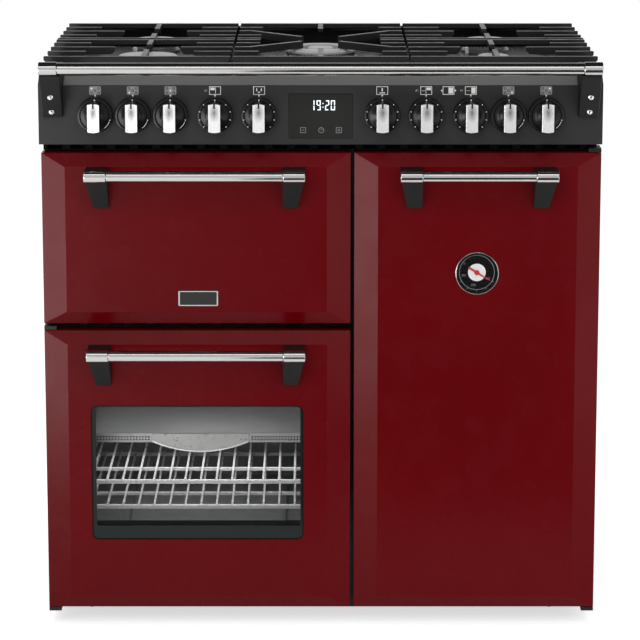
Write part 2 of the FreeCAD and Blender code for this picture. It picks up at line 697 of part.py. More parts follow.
def knob(x):
    """Round skirt with a bevelled bar grip, a pointer notch at the grip's top and the spindle behind."""
    back = FASCIA_Y - KNOB_GAP
    face = back - KNOB_SKIRT_H
    tip = face - GRIP_STAND
    skirt = bevelled(column_y(x, face, back, KNOB_Z, KNOB_SKIRT_R, KNOB_SIDES), KNOB_BEVEL, 1, face)
    grip = bevelled(prism_y(grip_outline(x), tip, face), GRIP_TIP_BEVEL, 1, tip)
    grip_top = KNOB_Z + GRIP_H / 2.0
    notch = box(x - GRIP_NOTCH_W / 2, x + GRIP_NOTCH_W / 2, tip - OVER, tip + GRIP_NOTCH_D,
                grip_top - GRIP_NOTCH_L, grip_top + OVER)
    spindle = column_y(x, back, back + SPINDLE_L, KNOB_Z, inside(SPINDLE_R, TUBE_SIDES), TUBE_SIDES)
    return fused([skirt, grip, spindle]).cut(notch)


def control_body(x, w, h, depth):
    """Box on the fascia's back, bored for the knob's spindle."""
    case = box(x - w / 2, x + w / 2, FASCIA_IN_Y, FASCIA_IN_Y + depth, KNOB_Z - h / 2, KNOB_Z + h / 2)
    end = FASCIA_Y - KNOB_GAP + SPINDLE_L
    return case.cut(column_y(x, FASCIA_IN_Y - OVER, end + OVER, KNOB_Z, SPINDLE_R + RUN_FIT, TUBE_SIDES))


def control_bodies():
    """Five gas taps against the gas pipe and five oven switches."""
    taps = [control_body(x, TAP_W, TAP_H, TAP_DEPTH) for x in GAS_KNOB_X]
    return taps + [control_body(x, SWITCH_W, SWITCH_W, SWITCH_DEPTH) for x in OVEN_KNOB_X]


def gas_manifold():
    """Square pipe behind the taps that turns to the back and ends in a female threaded inlet."""
    x, half = PIPE_END_X, PIPE_W / 2.0
    z0, z1 = KNOB_Z - half, KNOB_Z + half
    y0 = FASCIA_IN_Y + TAP_DEPTH
    run = box(GAS_KNOB_X[0] - TAP_W, x + half, y0, y0 + PIPE_W, z0, z1)
    leg = box(x - half, x + half, y0, BACK_Y - INLET_L + OVER, z0, z1)
    inlet = rod_y(x, BACK_Y - INLET_L, BACK_Y, KNOB_Z, INLET_R)
    bore = rod_y(x, BACK_Y - INLET_BORE_L, BACK_Y + OVER, KNOB_Z, INLET_BORE_R)
    return fused([run, leg, inlet]).cut(bore)


def hob_rail():
    end = RAIL_END_X
    inner = end - RAIL_FERRULE_L
    bar = rod_x(-inner, inner, RAIL_Y, RAIL_Z, RAIL_R)
    left = rod_x(-end, -inner, RAIL_Y, RAIL_Z, RAIL_FERRULE_R)
    right = rod_x(inner, end, RAIL_Y, RAIL_Z, RAIL_FERRULE_R)
    return [bar, left, right]


def rail_brackets():
    """Arms from the fascia, flat on top back to the hob, that cradle the rail's ferrules."""
    foot_z = HOB_RIM_Z - RAIL_BRACKET_DROP
    top_z = RAIL_Z + RAIL_BRACKET_OVER
    outline = [(FASCIA_Y, foot_z), (FASCIA_Y - RAIL_BRACKET_FOOT, foot_z),
               (RAIL_Y - RAIL_FERRULE_R / 2, RAIL_Z - RAIL_FERRULE_R - RAIL_BRACKET_UNDER),
               (RAIL_Y, top_z), (STRIP_Y, top_z), (STRIP_Y, HOB_RIM_Z), (FASCIA_Y, FASCIA_TOP)]
    outer = RAIL_END_X - RAIL_BRACKET_INSET
    seat = rod_x(-WIDTH, WIDTH, RAIL_Y, RAIL_Z, RAIL_FERRULE_R + RUN_FIT)
    brackets = []
    for x0 in (-outer, outer - RAIL_BRACKET_W):
        brackets.append(prism_x(outline, x0, x0 + RAIL_BRACKET_W).cut(seat))
    return brackets


# Hob

def hob_tray():
    """Enamelled pan with a raised rim and a hole under each burner."""
    half = HOB_W / 2.0
    pan = box(-half, half, STRIP_Y, BACK_Y, HOB_UNDER_Z, HOB_RIM_Z)
    well = rounded_block(HOB_RIM - half, half - HOB_RIM, STRIP_Y + HOB_RIM, BACK_Y - HOB_RIM,
                         HOB_FLOOR_Z, HOB_RIM_Z + OVER, HOB_RIM, along=2)
    pan = pan.cut(well)
    for x, y, r in burner_places():
        hole_r = r * BURNER_CUP_SHARE + SEAT_FIT
        pan = pan.cut(column_z(x, y, HOB_UNDER_Z - OVER, HOB_RIM_Z, hole_r, BURNER_SIDES))
    return pan


def burner_places():
    return [(x, SUPPORT_Y + d, r) for x, d, r in SIDE_BURNERS] + [(0, WOK_Y, WOK_CAP_R)]


def gas_ports(x, y, r):
    """Ring of upright slots in the crown's top edge."""
    count = int(2 * math.pi * r / PORT_PITCH)
    half = PORT_W / 2.0
    ports = []
    for k in range(count):
        port = box(r - PORT_D, r + OVER, -half, half, BURNER_CAP_Z - PORT_H, BURNER_CAP_Z + OVER)
        port.rotate(vec(0, 0, 0), vec(0, 0, 1), 360.0 * k / count)
        port.translate(vec(x, y, 0))
        ports.append(port)
    return Part.makeCompound(ports)


def burner_body(x, y, cap_r):
    """Cast cup under the tray, flange on the tray and a crown with a ring of gas ports."""
    crown_r = cap_r - BURNER_CROWN_IN
    low = HOB_FLOOR_Z - BURNER_CUP_DROP
    cup = column_z(x, y, low, HOB_FLOOR_Z, cap_r * BURNER_CUP_SHARE, BURNER_SIDES)
    flange = column_z(x, y, HOB_FLOOR_Z, BURNER_CROWN_Z, cap_r + BURNER_FLANGE_OUT, BURNER_SIDES)
    flange = bevelled(flange, BURNER_FLANGE_TAPER, 2, BURNER_CROWN_Z)
    crown = column_z(x, y, BURNER_CROWN_Z, BURNER_CAP_Z, crown_r, BURNER_SIDES)
    return fused([cup, flange, crown]).cut(gas_ports(x, y, crown_r))


def burner_bodies():
    return [burner_body(x, y, r) for x, y, r in burner_places()]


def cap_disc(x, y, r):
    """Flat cap whose upper edge slopes in."""
    top = BURNER_CAP_Z + BURNER_CAP_H
    return bevelled(column_z(x, y, BURNER_CAP_Z, top, r, BURNER_SIDES), CAP_EDGE_IN, 2, top)


def burner_caps():
    """A cap on each side burner, and a ring with a small centre cap on the wok burner."""
    caps = [cap_disc(x, y, r) for x, y, r in burner_places()]
    top = BURNER_CAP_Z + BURNER_CAP_H
    eye = column_z(0, WOK_Y, BURNER_CAP_Z - OVER, top + OVER, WOK_RING_IN, BURNER_SIDES)
    caps[-1] = caps[-1].cut(eye)
    return caps + [cap_disc(0, WOK_Y, WOK_CENTRE_R)]


def spark_plugs():
    """White ceramic electrode with a thin tip beside each burner, standing on the tray."""
    plugs = []
    shoulder = HOB_FLOOR_Z + SPARK_H - SPARK_TIP_H
    for x, y, r in burner_places():
        reach = (r + BURNER_FLANGE_OUT + SPARK_GAP) * math.sqrt(0.5)
        stem = column_z(x - reach, y - reach, HOB_FLOOR_Z, shoulder, SPARK_R, SPARK_SIDES)
        tip = column_z(x - reach, y - reach, shoulder, shoulder + SPARK_TIP_H, SPARK_TIP_R, SPARK_SIDES)
        plugs.append(fused([stem, tip]))
    return plugs


# Pan supports

def bar_x(x0, x1, d):
    """Cast bar along X with squared ends that taper underneath."""
    low, tip, half = SUPPORT_UNDER, SUPPORT_TIP, SUPPORT_BAR_W / 2.0
    outline = [(x0, SUPPORT_TOP), (x1, SUPPORT_TOP), (x1, SUPPORT_TOP - tip), (x1 - tip, low),
               (x0 + tip, low), (x0, SUPPORT_TOP - tip)]
    return prism_y(outline, SUPPORT_Y + d - half, SUPPORT_Y + d + half)


def bar_y(x, d0, d1):
    """Cast finger along Y with tapered tips."""
    low, tip, half = SUPPORT_UNDER, SUPPORT_TIP, SUPPORT_BAR_W / 2.0
    y0, y1 = SUPPORT_Y + d0, SUPPORT_Y + d1
    outline = [(y0, SUPPORT_TOP), (y1, SUPPORT_TOP), (y1, SUPPORT_TOP - tip), (y1 - tip, low),
               (y0 + tip, low), (y0, SUPPORT_TOP - tip)]
    return prism_x(outline, x - half, x + half)


def slanted_bar(x0, d0, x1, d1):
    """Cast arm between two points of the hob plane."""
    length = math.hypot(x1 - x0, d1 - d0)
    nx = (d0 - d1) / length * SUPPORT_BAR_W / 2.0
    ny = (x1 - x0) / length * SUPPORT_BAR_W / 2.0
    y0, y1 = SUPPORT_Y + d0, SUPPORT_Y + d1
    corners = [(x0 + nx, y0 + ny), (x1 + nx, y1 + ny), (x1 - nx, y1 - ny), (x0 - nx, y0 - ny)]
    return prism_z(corners, SUPPORT_UNDER, SUPPORT_TOP)


def support_ribs(x0, x1):
    """Two lower ribs that link the rows, each on two feet."""
    half = SUPPORT_BAR_W / 2.0
    weld = SUPPORT_BAR_H / 4.0
    top = SUPPORT_UNDER + weld
    low = top - SUPPORT_RIB_H
    pieces = []
    for x in (x0 + SUPPORT_RIB_IN, x1 - SUPPORT_RIB_IN):
        pieces.append(box(x - half, x + half, SUPPORT_Y, SUPPORT_Y + SUPPORT_DEPTH, low, top))
        for d in (SUPPORT_FOOT_IN, SUPPORT_DEPTH - SUPPORT_FOOT_IN):
            y0 = SUPPORT_Y + d - SUPPORT_FOOT / 2.0
            pieces.append(box(x - half, x + half, y0, y0 + SUPPORT_FOOT, HOB_FLOOR_Z, low + OVER))
    return pieces


def side_support(side):
    """Cast grate over two burners, with full bars, fingers from both sides and fore-and-aft fingers."""
    near = side * SIDE_SUPPORT_X
    x0, x1 = sorted((near, near + side * SIDE_SUPPORT_W))
    bx = side * BURNER_X
    pieces = [bar_x(x0, x1, d) for d in (0, SUPPORT_MID_FRONT, SUPPORT_MID_REAR, SUPPORT_DEPTH)]
    cells = ((BURNER_FRONT, 0, SUPPORT_MID_FRONT), (BURNER_REAR, SUPPORT_MID_REAR, SUPPORT_DEPTH))
    for burner, front, rear in cells:
        pieces += [bar_x(x0, bx - LONG_FINGER_GAP, burner), bar_x(bx + LONG_FINGER_GAP, x1, burner)]
        pieces += [bar_y(bx, front, burner - FORE_FINGER_GAP), bar_y(bx, burner + FORE_FINGER_GAP, rear)]
        for d in (burner - FINGER_PITCH, burner + FINGER_PITCH):
            pieces += [bar_x(x0, x0 + SHORT_FINGER, d), bar_x(x1 - SHORT_FINGER, x1, d)]
    return fused(pieces + support_ribs(x0, x1))


def centre_support():
    """Cast grate over the wok burner, with two V arms on each side."""
    x1 = CENTRE_SUPPORT_W / 2.0
    pieces = [bar_x(-x1, x1, 0), bar_x(-x1, x1, SUPPORT_DEPTH)]
    pieces += [bar_y(0, 0, CENTRE_FINGER_FRONT), bar_y(0, SUPPORT_DEPTH - CENTRE_FINGER_REAR, SUPPORT_DEPTH)]
    stub_rows = (BURNER_FRONT - FINGER_PITCH, BURNER_FRONT + FINGER_PITCH, SUPPORT_MID_FRONT,
                 SUPPORT_MID_REAR, BURNER_REAR - FINGER_PITCH, BURNER_REAR + FINGER_PITCH)
    for side in (-1, 1):
        for d in stub_rows:
            ends = sorted((side * x1, side * (x1 - STUB_L)))
            pieces.append(bar_x(ends[0], ends[1], d))
        for row, tip in ((V_ROW_FRONT, V_TIP_FRONT), (V_ROW_REAR, V_TIP_REAR)):
            ends = sorted((side * x1, side * (V_BEND - SUPPORT_BAR_W / 2.0)))
            pieces.append(bar_x(ends[0], ends[1], row))
            pieces.append(slanted_bar(side * V_BEND, row, side * V_TIP_X, tip))
    return fused(pieces + support_ribs(-x1, x1))


# Doors

def rectangle(x0, x1, z0, z1, y):
    return polygon([vec(x0, y, z0), vec(x1, y, z0), vec(x1, y, z1), vec(x0, y, z1)])


def door_pan(door, skin):
    """Bevelled door front drawn in by a skin thickness, as a solid."""
    x0, x1, z0, z1 = door
    wires = [rectangle(x0 + BEVEL_SIDE, x1 - BEVEL_SIDE, z0 + BEVEL_END, z1 - BEVEL_END, DOOR_FACE_Y + skin),
             rectangle(x0 + skin, x1 - skin, z0 + skin, z1 - skin, DOOR_EDGE_Y + skin / 2),
             rectangle(x0 + skin, x1 - skin, z0 + skin, z1 - skin, DOOR_RIM_Y + skin)]
    return Part.makeLoft(wires, True, True)


def door_panel(door):
    """Pressed steel pan with mitred bevels, open at the back."""
    outer = door_pan(door, 0).cut(box(-WIDTH, WIDTH, DOOR_RIM_Y, BACK_Y, 0, SUPPORT_TOP))
    return outer.cut(door_pan(door, DOOR_SKIN))


def pin_holes(door, pin_x):
    x0, x1, z0, z1 = door
    r = PIN_R + DOOR_SKIN
    return Part.makeCompound([rod_z(pin_x, HINGE_Y, z0 - OVER, z0 + 2 * DOOR_SKIN, r),
                              rod_z(pin_x, HINGE_Y, z1 - 2 * DOOR_SKIN, z1 + OVER, r)])


def door_liner(door):
    """Inner door sheet with a pressed field on the oven side."""
    x0, x1, z0, z1 = door
    a = LINER_INSET
    plate = box(x0 + a, x1 - a, DOOR_RIM_Y, DOOR_BACK_Y, z0 + a, z1 - a)
    b = BEVEL_SIDE
    field = rounded_block(x0 + b, x1 - b, DOOR_BACK_Y - LINER_PRESS, DOOR_BACK_Y + OVER,
                          z0 + b, z1 - b, CAVITY_R)
    return plate.cut(field)


def swing_liner(door, pin_x):
    """Inner sheet of a side-hinged door, with a bored block at each end of the pin line."""
    x0, x1, z0, z1 = door
    r = HINGE_BLOCK_R
    low = z0 + DOOR_SKIN
    high = z1 - DOOR_SKIN
    blocks = [box(pin_x - r, pin_x + r, BLOCK_Y, DOOR_RIM_Y, low, low + HINGE_BLOCK_H),
              box(pin_x - r, pin_x + r, BLOCK_Y, DOOR_RIM_Y, high - HINGE_BLOCK_H, high)]
    liner = fused([door_liner(door)] + blocks)
    bore_r = PIN_R + RUN_FIT
    liner = liner.cut(rod_z(pin_x, HINGE_Y, z0, z0 + PIN_L + OVER, bore_r))
    return liner.cut(rod_z(pin_x, HINGE_Y, z1 - PIN_L - OVER, z1, bore_r))


def arm_places():
    return (LEFT_DOOR_X + DROP_ARM_INSET, LEFT_DOOR_R - DROP_ARM_INSET)


def arm_slot(x):
    half = DROP_ARM_W / 2.0 + DROP_SLOT_GAP
    return box(x - half, x + half, HINGE_Y - DROP_ARM_R - OVER, DOOR_BACK_Y + OVER, TOP_DOOR_Z - OVER,
               DROP_PIN_Z + DROP_ARM_R + DROP_SLOT_GAP)


def drop_liner():
    """Inner sheet of the drop-down door, with bored blocks beside each hinge arm's slot."""
    r = HINGE_BLOCK_R
    pieces = [door_liner(TOP_DOOR)]
    reach = DROP_ARM_W / 2.0 + DROP_SLOT_GAP + DROP_BLOCK_W
    for x in arm_places():
        pieces.append(box(x - reach, x + reach, BLOCK_Y, DOOR_RIM_Y, DROP_PIN_Z - r, DROP_PIN_Z + r))
    liner = fused(pieces)
    for x in arm_places():
        liner = liner.cut(arm_slot(x))
        end = reach - DROP_BORE_STOP
        liner = liner.cut(rod_x(x - end, x + end, HINGE_Y, DROP_PIN_Z, DROP_PIN_R + RUN_FIT))
    return liner


def top_door_panel():
    panel = door_panel(TOP_DOOR)
    edge = box(-WIDTH, WIDTH, -DEPTH, DEPTH, 0, TOP_DOOR_Z + 2 * DOOR_SKIN)
    for x in arm_places():
        panel = panel.cut(arm_slot(x).common(edge))
    return panel


def window_block(grow, y0, y1):
    """Rounded block of the window's outline, grown evenly."""
    half = WINDOW_W / 2.0 + grow
    return rounded_block(WINDOW_X - half, WINDOW_X + half, y0, y1,
                         WINDOW_Z - grow, WINDOW_Z + WINDOW_H + grow, WINDOW_R + grow)


def main_door_glass():
    """Outer pane behind the panel and inner pane in the liner's seat."""
    outer_y = DOOR_FACE_Y + DOOR_SKIN
    inner_y = DOOR_BACK_Y - LINER_PRESS - PANE_T / 2.0
    return [window_block(PANE_LAP, outer_y, outer_y + PANE_T),
            window_block(PANE_SEAT - SEAT_FIT, inner_y, inner_y + PANE_T)]


def main_door_liner():
    liner = swing_liner(MAIN_DOOR, LEFT_DOOR_X + PIN_INSET)
    liner = liner.cut(window_block(0, DOOR_RIM_Y - OVER, DOOR_BACK_Y + OVER))
    return liner.cut(window_block(PANE_SEAT, DOOR_BACK_Y - LINER_PRESS - PANE_T / 2, DOOR_BACK_Y + OVER))


def main_door_panel():
    panel = door_panel(MAIN_DOOR).cut(window_block(0, DOOR_FACE_Y - OVER, DOOR_EDGE_Y))
    return panel.cut(pin_holes(MAIN_DOOR, LEFT_DOOR_X + PIN_INSET))


def tall_door_panel():
    hole = rod_y(TALL_MID_X, DOOR_FACE_Y - OVER, DOOR_EDGE_Y, GAUGE_Z, GAUGE_R - GAUGE_RIM + SEAT_FIT)
    return door_panel(TALL_DOOR).cut(hole).cut(pin_holes(TALL_DOOR, TALL_DOOR_R - PIN_INSET))


def hinge_bracket(x0, plate_z, pin_x, pin_z0, pin_z1):
    """Plate on the front frame with an upright pin for a side-hinged door."""
    plate = box(x0, x0 + HINGE_PLATE_W, HINGE_Y - HINGE_BLOCK_R, FRAME_Y, plate_z, plate_z + HINGE_PLATE_T)
    return fused([plate, rod_z(pin_x, HINGE_Y, pin_z0, pin_z1, PIN_R)])


def hinge_brackets():
    brackets = []
    low_z = DOOR_BOTTOM - HINGE_PLATE_GAP - HINGE_PLATE_T
    sides = ((LEFT_DOOR_X, LEFT_DOOR_X + PIN_INSET, MAIN_DOOR_TOP),
             (TALL_DOOR_R - HINGE_PLATE_W, TALL_DOOR_R - PIN_INSET, DOORS_TOP))
    for x0, pin_x, top in sides:
        brackets.append(hinge_bracket(x0, low_z, pin_x, low_z, DOOR_BOTTOM + PIN_L))
        high_z = top + HINGE_PLATE_GAP
        brackets.append(hinge_bracket(x0, high_z, pin_x, top - PIN_L, high_z + HINGE_PLATE_T))
    for x in arm_places():
        half = DROP_ARM_W / 2.0
        pin = half + DROP_SLOT_GAP + DROP_BLOCK_W - DROP_PIN_SHORT
        arm = box(x - half, x + half, HINGE_Y, FRAME_Y, DROP_PIN_Z - DROP_ARM_R, DROP_PIN_Z + DROP_ARM_R)
        brackets.append(fused([arm, rod_x(x - half, x + half, HINGE_Y, DROP_PIN_Z, DROP_ARM_R),
                               rod_x(x - pin, x + pin, HINGE_Y, DROP_PIN_Z, DROP_PIN_R)]))
    return brackets


def handle(mid_x, door_top, length):
    """Round bar with a thicker ferrule on each end."""
    z = door_top - HANDLE_DROP
    x0, x1 = mid_x - length / 2.0, mid_x + length / 2.0
    f = HANDLE_FERRULE_L
    bar = rod_x(x0 + f, x1 - f, HANDLE_Y, z, HANDLE_BAR_R)
    left = rod_x(x0, x0 + f, HANDLE_Y, z, HANDLE_FERRULE_R)
    right = rod_x(x1 - f, x1, HANDLE_Y, z, HANDLE_FERRULE_R)
    return [bar, left, right]


def handle_brackets(mid_x, door_top, length):
    """Tapered wedges from the door's face that cradle the ferrules."""
    z = door_top - HANDLE_DROP
    nose_y = HANDLE_Y + BRACKET_NOSE
    outline = [(DOOR_FACE_Y, z + BRACKET_RISE), (DOOR_FACE_Y, z - BRACKET_DROP),
               (DOOR_FACE_Y - BRACKET_LIP, z - BRACKET_DROP), (nose_y, z - HANDLE_FERRULE_R + BRACKET_NOSE),
               (nose_y, z + BRACKET_RISE)]
    seat = rod_x(-WIDTH, WIDTH, HANDLE_Y, z, HANDLE_FERRULE_R + RUN_FIT)
    lean = BRACKET_W - BRACKET_FOOT_W
    brackets = []
    for side in (-1, 1):
        outer = mid_x + side * length / 2.0
        inner = outer - side * BRACKET_W
        arm = prism_x(outline, min(outer, inner), max(outer, inner)).cut(seat)
        low = z - BRACKET_DROP - OVER
        past = outer + side * OVER
        wedge = [(outer, z), (past, z), (past, low), (outer - side * lean, low)]
        brackets.append(arm.cut(prism_y(wedge, HANDLE_Y - HANDLE_FERRULE_R, DOOR_FACE_Y + OVER)))
    return brackets


# Gauge

def gauge_case():
    """Round case with a proud bezel, a glass seat and a bush for the needle's pin."""
    x, z, n = TALL_MID_X, GAUGE_Z, GAUGE_SIDES
    seat_r = GAUGE_R - GAUGE_WALL
    bezel = bevelled(column_y(x, RIM_Y, DOOR_FACE_Y, z, GAUGE_R, n), GAUGE_BEVEL, 1, RIM_Y)
    barrel = column_y(x, DOOR_FACE_Y, DOOR_FACE_Y + GAUGE_DEPTH, z, GAUGE_R - GAUGE_RIM, n)
    case = fused([bezel, barrel])
    case = case.cut(column_y(x, RIM_Y - OVER, RIM_Y + GAUGE_STEP, z, seat_r, n))
    case = case.cut(column_y(x, RIM_Y, DIAL_Y, z, seat_r - GAUGE_LEDGE, n))
    bush_end = DIAL_Y + NEEDLE_PIN_L + OVER
    return case.cut(column_y(x, DIAL_Y - OVER, bush_end, z, NEEDLE_PIN_R + RUN_FIT, TUBE_SIDES))


def gauge_glass():
    r = GAUGE_R - GAUGE_WALL - SEAT_FIT
    return column_y(TALL_MID_X, RIM_Y + GAUGE_GLASS_SINK, RIM_Y + GAUGE_STEP, GAUGE_Z, r, GAUGE_SIDES)


def gauge_needle():
    """Pointer with a tail, a round hub and the pin that turns in the case."""
    y1 = DIAL_Y - NEEDLE_CLEAR
    y0 = y1 - NEEDLE_T
    x, z = TALL_MID_X, GAUGE_Z
    half, tip = NEEDLE_W / 2.0, NEEDLE_TIP_W / 2.0
    blade = prism_y([(x - NEEDLE_SHORT, z - half), (x, z - half), (x + NEEDLE_LONG, z - tip),
                     (x + NEEDLE_LONG, z + tip), (x, z + half), (x - NEEDLE_SHORT, z + half)], y0, y1)
    blade.rotate(vec(x, 0, z), vec(0, 1, 0), NEEDLE_TILT)
    hub = column_y(x, y0, y1, z, NEEDLE_HUB_R, 2 * TUBE_SIDES)
    pin = column_y(x, y0, DIAL_Y + NEEDLE_PIN_L, z, inside(NEEDLE_PIN_R, TUBE_SIDES), TUBE_SIDES)
    return fused([blade, hub, pin])


# Oven fittings

def oven_rack(cavity, rise):
    """Welded wire rack on the liner's runners: rod frame, crossbar and fore-and-aft wires."""
    x0, x1, z0, z1 = cavity_sides(cavity)
    w = RACK_ROD_W
    xa, xb = x0 + RACK_SIDE_GAP, x1 - RACK_SIDE_GAP
    ya, yb = RACK_Y, RACK_END_Y
    low, top = z0 + rise, z0 + rise + w
    hollow = box(xa + w, xb - w, ya + w, yb - w, low - OVER, top + OVER)
    frame = box(xa, xb, ya, yb, low, top).cut(hollow)
    bar_at = ya + RACK_BAR_SETBACK
    pieces = [frame, box(xa, xb, bar_at - w / 2, bar_at + w / 2, low, top - RACK_WIRE_SINK)]
    count = int((xb - xa) / RACK_PITCH)
    half = RACK_WIRE_W / 2.0
    for k in range(count):
        x = (xa + xb) / 2.0 + (k - (count - 1) / 2.0) * RACK_PITCH
        pieces.append(box(x - half, x + half, ya + half, yb - half, top - RACK_WIRE_SINK,
                          top + RACK_WIRE_W - RACK_WIRE_SINK))
    return fused(pieces)


def tray_slots(mid, z):
    """Two rows of long slots through the tray's floor."""
    count = int(LEFT_CAVITY_W / RACK_PITCH) - 2
    half, web = TRAY_SLOT_W / 2.0, TRAY_WEB / 2.0
    mid_y = (RACK_Y + RACK_END_Y) / 2.0
    rows = ((RACK_Y + TRAY_SLOT_MARGIN, mid_y - web), (mid_y + web, RACK_END_Y - TRAY_SLOT_MARGIN))
    slots = []
    for k in range(count):
        x = mid + (k - (count - 1) / 2.0) * RACK_PITCH
        for y0, y1 in rows:
            slots.append(box(x - half, x + half, y0, y1, z - OVER, z + CAVITY_WALL + OVER))
    return Part.makeCompound(slots)


def tray_plate(mid, top):
    """Plate on the tray's front with a curved lower edge."""
    t = CAVITY_WALL
    y = RACK_Y - t
    half = TRAY_PLATE_W / 2.0
    shoulder = top - TRAY_DEPTH_Z
    a, b = vec(mid - half, y, top + t), vec(mid + half, y, top + t)
    c, d = vec(mid + half, y, shoulder), vec(mid - half, y, shoulder)
    edges = [Part.LineSegment(a, b).toShape(), Part.LineSegment(b, c).toShape(),
             Part.Arc(c, vec(mid, y, top - TRAY_PLATE_DROP), d).toShape(), Part.LineSegment(d, a).toShape()]
    return Part.Face(Part.Wire(edges)).extrude(vec(0, t, 0))


def air_fry_tray():
    """Shallow slotted tray whose rim slides on the runners, with a curved plate on its front."""
    x0, x1, z0, z1 = cavity_sides(MAIN_CAVITY)
    t = CAVITY_WALL
    top = z0 + TRAY_RISE
    low = top - TRAY_DEPTH_Z
    inset = RUNNER_W + RACK_SIDE_GAP
    mid = (x0 + x1) / 2.0
    rim = box(x0 + RACK_SIDE_GAP, x1 - RACK_SIDE_GAP, RACK_Y, RACK_END_Y, top, top + t)
    pan = box(x0 + inset, x1 - inset, RACK_Y, RACK_END_Y, low, top + t)
    well = box(x0 + inset + t, x1 - inset - t, RACK_Y + t, RACK_END_Y - t, low + t, top + t + OVER)
    tray = fused([rim, pan]).cut(well).cut(tray_slots(mid, low))
    return fused([tray, tray_plate(mid, top)])


def grill_element():
    """One heating tube in a flat serpentine under the grill oven's roof, held by the back wall."""
    x0, x1, z0, z1 = cavity_sides(TOP_CAVITY)
    z = z1 - GRILL_FROM_TOP
    bend = GRILL_PITCH / 4.0
    front, rear = MOUTH_Y + GRILL_PITCH, CAVITY_BACK_Y - GRILL_PITCH
    runs = 2 * int((x1 - x0) / GRILL_PITCH / 2)
    points = []
    for k in range(runs):
        x = (x0 + x1) / 2.0 + (k - (runs - 1) / 2.0) * GRILL_PITCH
        run = [(x - bend, rear), (x, rear - bend), (x, front + bend), (x + bend, front)]
        points += run if k % 2 == 0 else [(2 * x - a, y) for a, y in reversed(run)]
    points[:2] = [(points[1][0], CAVITY_BACK_Y)]
    points[-2:] = [(points[-2][0], CAVITY_BACK_Y)]
    path = Part.makePolygon([vec(x, y, z) for x, y in points])
    start_x = points[0][0]
    corners = ring_points(GRILL_TUBE_R, TUBE_SIDES)
    ring = polygon([vec(start_x + a, CAVITY_BACK_Y, z + b) for a, b in corners])
    return path.makePipeShell([ring], True, False, 1)


def fan_centre(cavity):
    mid, width, floor, height = cavity
    return mid, floor + height / 2.0


def oven_fan(cavity):
    """Fan wheel with upright blades on a sixteen-sided disc, on a shaft into the motor behind the liner."""
    x, z = fan_centre(cavity)
    disc_y = CAVITY_BACK_Y - FAN_WALL_GAP
    disc = column_y(x, disc_y - FAN_BLADE_T, disc_y, z, FAN_R, 2 * FAN_BLADES)
    hub = column_y(x, disc_y - FAN_H, disc_y, z, FAN_HUB_R, 2 * FAN_BLADES)
    blades = []
    for k in range(FAN_BLADES):
        blade = box(FAN_BLADE_IN, FAN_R, disc_y - FAN_H, disc_y - FAN_BLADE_T / 2, 0, FAN_BLADE_T)
        blade.rotate(vec(0, 0, 0), vec(0, 1, 0), 360.0 * k / FAN_BLADES)
        blade.translate(vec(x, 0, z))
        blades.append(blade)
    shaft_r = inside(FAN_SHAFT_R, TUBE_SIDES)
    shaft = column_y(x, disc_y, CAVITY_BACK_Y + FAN_SHAFT_L, z, shaft_r, TUBE_SIDES)
    return fused([disc, hub, shaft] + blades)


def fan_cover(cavity):
    """Shallow cup over the fan with a ring of radial slots."""
    x, z = fan_centre(cavity)
    t = CAVITY_WALL
    face = CAVITY_BACK_Y - FAN_COVER_H
    r, n = FAN_COVER_R, FAN_COVER_SIDES
    cup = bevelled(column_y(x, face, CAVITY_BACK_Y, z, r, n), FAN_COVER_BEVEL, 1, face)
    hollow = column_y(x, face + t, CAVITY_BACK_Y + OVER, z, r - t, n)
    cup = cup.cut(bevelled(hollow, FAN_COVER_BEVEL, 1, face + t))
    slots = []
    for k in range(FAN_SLOTS):
        slot = box(FAN_SLOT_IN, FAN_SLOT_OUT, face - OVER, face + t + OVER, -FAN_SLOT_W / 2, FAN_SLOT_W / 2)
        slot.rotate(vec(0, 0, 0), vec(0, 1, 0), 360.0 * k / FAN_SLOTS)
        slot.translate(vec(x, 0, z))
        slots.append(slot)
    return cup.cut(Part.makeCompound(slots))


def fan_motor(cavity):
    """Square motor stack on the liner's back."""
    x, z = fan_centre(cavity)
    y0 = CAVITY_BACK_Y + CAVITY_WALL
    half = MOTOR_W / 2.0
    stack = box(x - half, x + half, y0, y0 + MOTOR_L, z - half, z + half)
    end = CAVITY_BACK_Y + FAN_SHAFT_L + OVER
    return stack.cut(column_y(x, y0 - OVER, end, z, FAN_SHAFT_R + RUN_FIT, TUBE_SIDES))


# Nodes

save("base_frame", [base_frame()])
save("side_panels", side_panels())
save("back_panel", back_panel())
save("front_frame", [front_frame()])
save("top_oven_liner", [oven_liner(TOP_CAVITY, (), 0)])
save("main_oven_liner", [oven_liner(MAIN_CAVITY, MAIN_RACK_RISES + (TRAY_RISE,), MAIN_CAVITY_H / 2)])
save("tall_oven_liner", [oven_liner(TALL_CAVITY, TALL_RACK_RISES, TALL_CAVITY_H / 2)])
save("door_seals", [door_seal(c) for c in (MAIN_CAVITY, TOP_CAVITY, TALL_CAVITY)])
save("vent_trims", vent_trims())
save("control_fascia", [control_fascia()])
save("timer_glass", [timer_glass()])
save("control_bodies", control_bodies())
save("gas_manifold", [gas_manifold()])
save("hob_rail", hob_rail())
save("rail_brackets", rail_brackets())
save("hob_tray", [hob_tray()])
save("burner_bodies", burner_bodies())
save("burner_caps", burner_caps())
save("spark_plugs", spark_plugs())
save("hinge_brackets", hinge_brackets())
save("oven_racks", [oven_rack(MAIN_CAVITY, rise) for rise in MAIN_RACK_RISES]
     + [oven_rack(TALL_CAVITY, rise) for rise in TALL_RACK_RISES])
save("air_fry_tray", [air_fry_tray()])
save("grill_element", [grill_element()])
save("fan_covers", [fan_cover(MAIN_CAVITY), fan_cover(TALL_CAVITY)])
save("fan_motors", [fan_motor(MAIN_CAVITY), fan_motor(TALL_CAVITY)])
save("main_oven_fan", [oven_fan(MAIN_CAVITY)])
